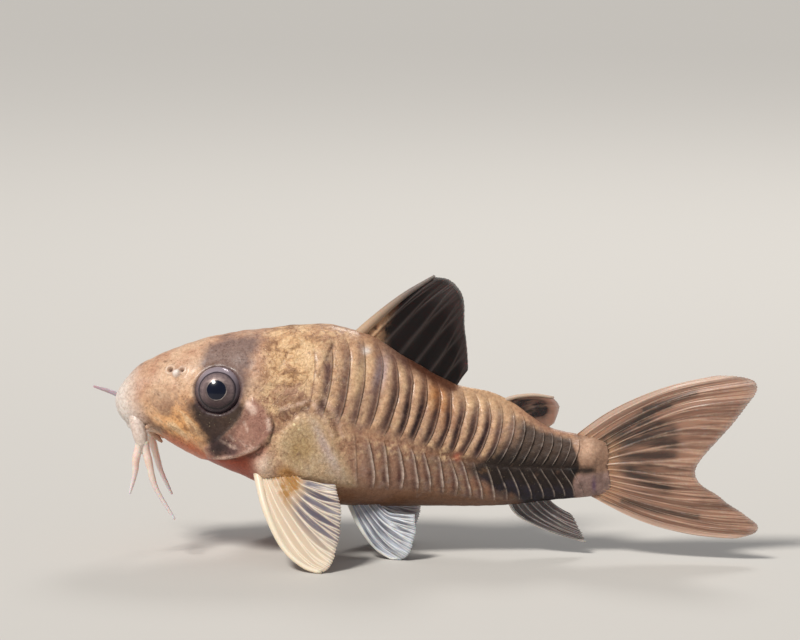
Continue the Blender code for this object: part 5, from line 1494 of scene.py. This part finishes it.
feelers = {
    "radii": ((0.0, 0.34), (0.35, 0.31), (0.65, 0.22), (1.0, 0.10)),
    # the feeler on the far side is given a darker grey: painted shade
    "tones": {"root": (0.80, 0.60, 0.50), "middle": (0.86, 0.72, 0.64), "tip": (0.78, 0.72, 0.74),
              "far": (0.44, 0.36, 0.41)},
    "lines": {
        "leftFrontFeeler": ("left_front_barbel", 1,
                            ((2.15, 2.8, 9.4), (1.82, 3.1, 8.1), (1.72, 3.2, 6.9), (1.3, 3.2, 5.3))),
        "leftRearFeeler": ("left_rear_barbel", 1,
                           ((2.45, 2.8, 9.4), (2.82, 3.1, 7.9), (3.4, 3.4, 5.8), (4.9, 3.7, 3.3))),
        "rightFrontFeeler": ("right_front_barbel", -1,
                             ((2.1, 2.4, 10.1), (1.1, 3.1, 11.2), (0.0, 3.5, 12.2), (-2.0, 3.7, 12.9))),
        "rightRearFeeler": ("right_rear_barbel", -1,
                            ((2.45, 2.8, 9.4), (2.9, 3.1, 8.0), (3.4, 3.6, 6.0), (4.3, 3.9, 3.9))),
    },
}


def feelerMaterial():
    tones = feelers["tones"]
    made, tree, shader = newMaterial(
        "paleFeeler", Roughness=0.34, Coat_Weight=0.4, Coat_Roughness=0.15, Subsurface_Weight=0.4,
        Subsurface_Scale=0.0006,
    )
    patchy = noise(tree, 1600.0, 3.0, 0.6)
    along = mask(tree, "along")
    colour = mix(tree, tones["root"], tones["middle"], spread(tree, patchy, 0.35, 0.65))
    colour = mix(tree, colour, tones["tip"], spread(tree, along, 0.4, 1.0))
    colour = mix(tree, colour, tones["far"], mask(tree, "far"))
    feed(tree, colour, shader.inputs["Base Color"])
    addBump(tree, shader, noise(tree, 3600.0, 3.0, 0.6), 0.00003, 0.5)
    return made


def buildFeelers():
    look = feelerMaterial()
    count, sides = 90, 20
    share = np.linspace(0, 1, count)
    for name, (node, side, points) in feelers["lines"].items():
        line = curveThrough(points, count)
        line = place(line[:, 0], side * line[:, 1], line[:, 2])
        uneven = 1 + 0.015 * np.sin(share * 70) + 0.04 * np.sin(share * 23 + 1)
        radii = curveOf(feelers["radii"])(share) * uneven + 0.05 * np.exp(-share / 0.10)
        obj = tube(name, line, radii, sides)
        addMask(obj, "along", np.concatenate([np.repeat(share, sides), [0.0, 1.0]]))
        # the far side's feeler takes the darker tone: painted shade
        addMask(obj, "far", np.full(len(obj.data.vertices), float(points[-1][2] > points[0][2])))
        obj.data.materials.append(look)
        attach(obj, "root")
        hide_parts(node)


buildFeelers()
print("feelers built")


# Floor, light and camera

view = {
    "target": (-1.84, -0.2, 18.9),
    "azimuth": 0.0,
    "elevation": 8.5,
    "distance": 350.0,
    "fieldOfView": 10.53,
}
light = {
    "world": 0.30,
    "sun": 2.9,
    "sunSoftness": 14.0,
    "sunFrom": (-0.50, -0.55, 0.95),
    "lamps": (
        ("key", (-0.12, -0.16, 0.26), 0.045, 0.075, (1.0, 0.96, 0.90)),
        ("rim", (0.06, 0.24, 0.24), 0.10, 0.25, (1.0, 0.97, 0.93)),
    ),
}


def buildStage():
    size = 1.5
    floor = bpy.data.meshes.new("floor")
    corners = [(-size, -size, 0), (size, -size, 0), (size, size, 0), (-size, size, 0)]
    floor.from_pydata(corners, [], [(0, 1, 2, 3)])
    obj = bpy.data.objects.new("floor", floor)
    bpy.context.scene.collection.objects.link(obj)
    look = newMaterial("paleFloor", Roughness=0.75, Base_Color=(0.58, 0.565, 0.54))[0]
    obj.data.materials.append(look)


def addLight(name, where, target, size, power, colour):
    data = bpy.data.lights.new(name, "AREA")
    data.shape = "DISK"
    data.size = size
    data.energy = power
    data.color = colour
    obj = bpy.data.objects.new(name, data)
    obj.location = where
    obj.rotation_euler = (Vector(target) - Vector(where)).to_track_quat("-Z", "Y").to_euler()
    bpy.context.scene.collection.objects.link(obj)


def buildLightAndCamera():
    world = bpy.data.worlds.new("studio")
    world.use_nodes = True
    background = world.node_tree.nodes["Background"]
    background.inputs["Color"].default_value = (0.86, 0.88, 0.92, 1.0)
    background.inputs["Strength"].default_value = light["world"]
    bpy.context.scene.world = world
    bpy.context.scene.view_settings.view_transform = "Standard"
    sun = bpy.data.lights.new("window", "SUN")
    sun.energy, sun.angle, sun.color = light["sun"], math.radians(light["sunSoftness"]), (1.0, 0.955, 0.89)
    obj = bpy.data.objects.new("window", sun)
    obj.rotation_euler = Vector(light["sunFrom"]).to_track_quat("Z", "Y").to_euler()
    bpy.context.scene.collection.objects.link(obj)
    for name, where, size, power, colour in light["lamps"]:
        addLight(name, where, (0.0, 0.0, 0.010), size, power, colour)
    data = bpy.data.cameras.new("camera")
    data.sensor_fit = "HORIZONTAL"
    data.angle = math.radians(view["fieldOfView"])
    data.clip_start = 0.01
    data.clip_end = 10.0
    obj = bpy.data.objects.new("camera", data)
    azimuth, elevation = math.radians(view["azimuth"]), math.radians(view["elevation"])
    level = math.cos(elevation)
    toCamera = Vector((-math.sin(azimuth) * level, -math.cos(azimuth) * level, math.sin(elevation)))
    target = Vector(view["target"]) * mm
    obj.location = target + toCamera * view["distance"] * mm
    obj.rotation_euler = (-toCamera).to_track_quat("-Z", "Y").to_euler()
    bpy.context.scene.collection.objects.link(obj)
    bpy.context.scene.camera = obj


buildStage()
buildLightAndCamera()
print("stage, light and camera set")
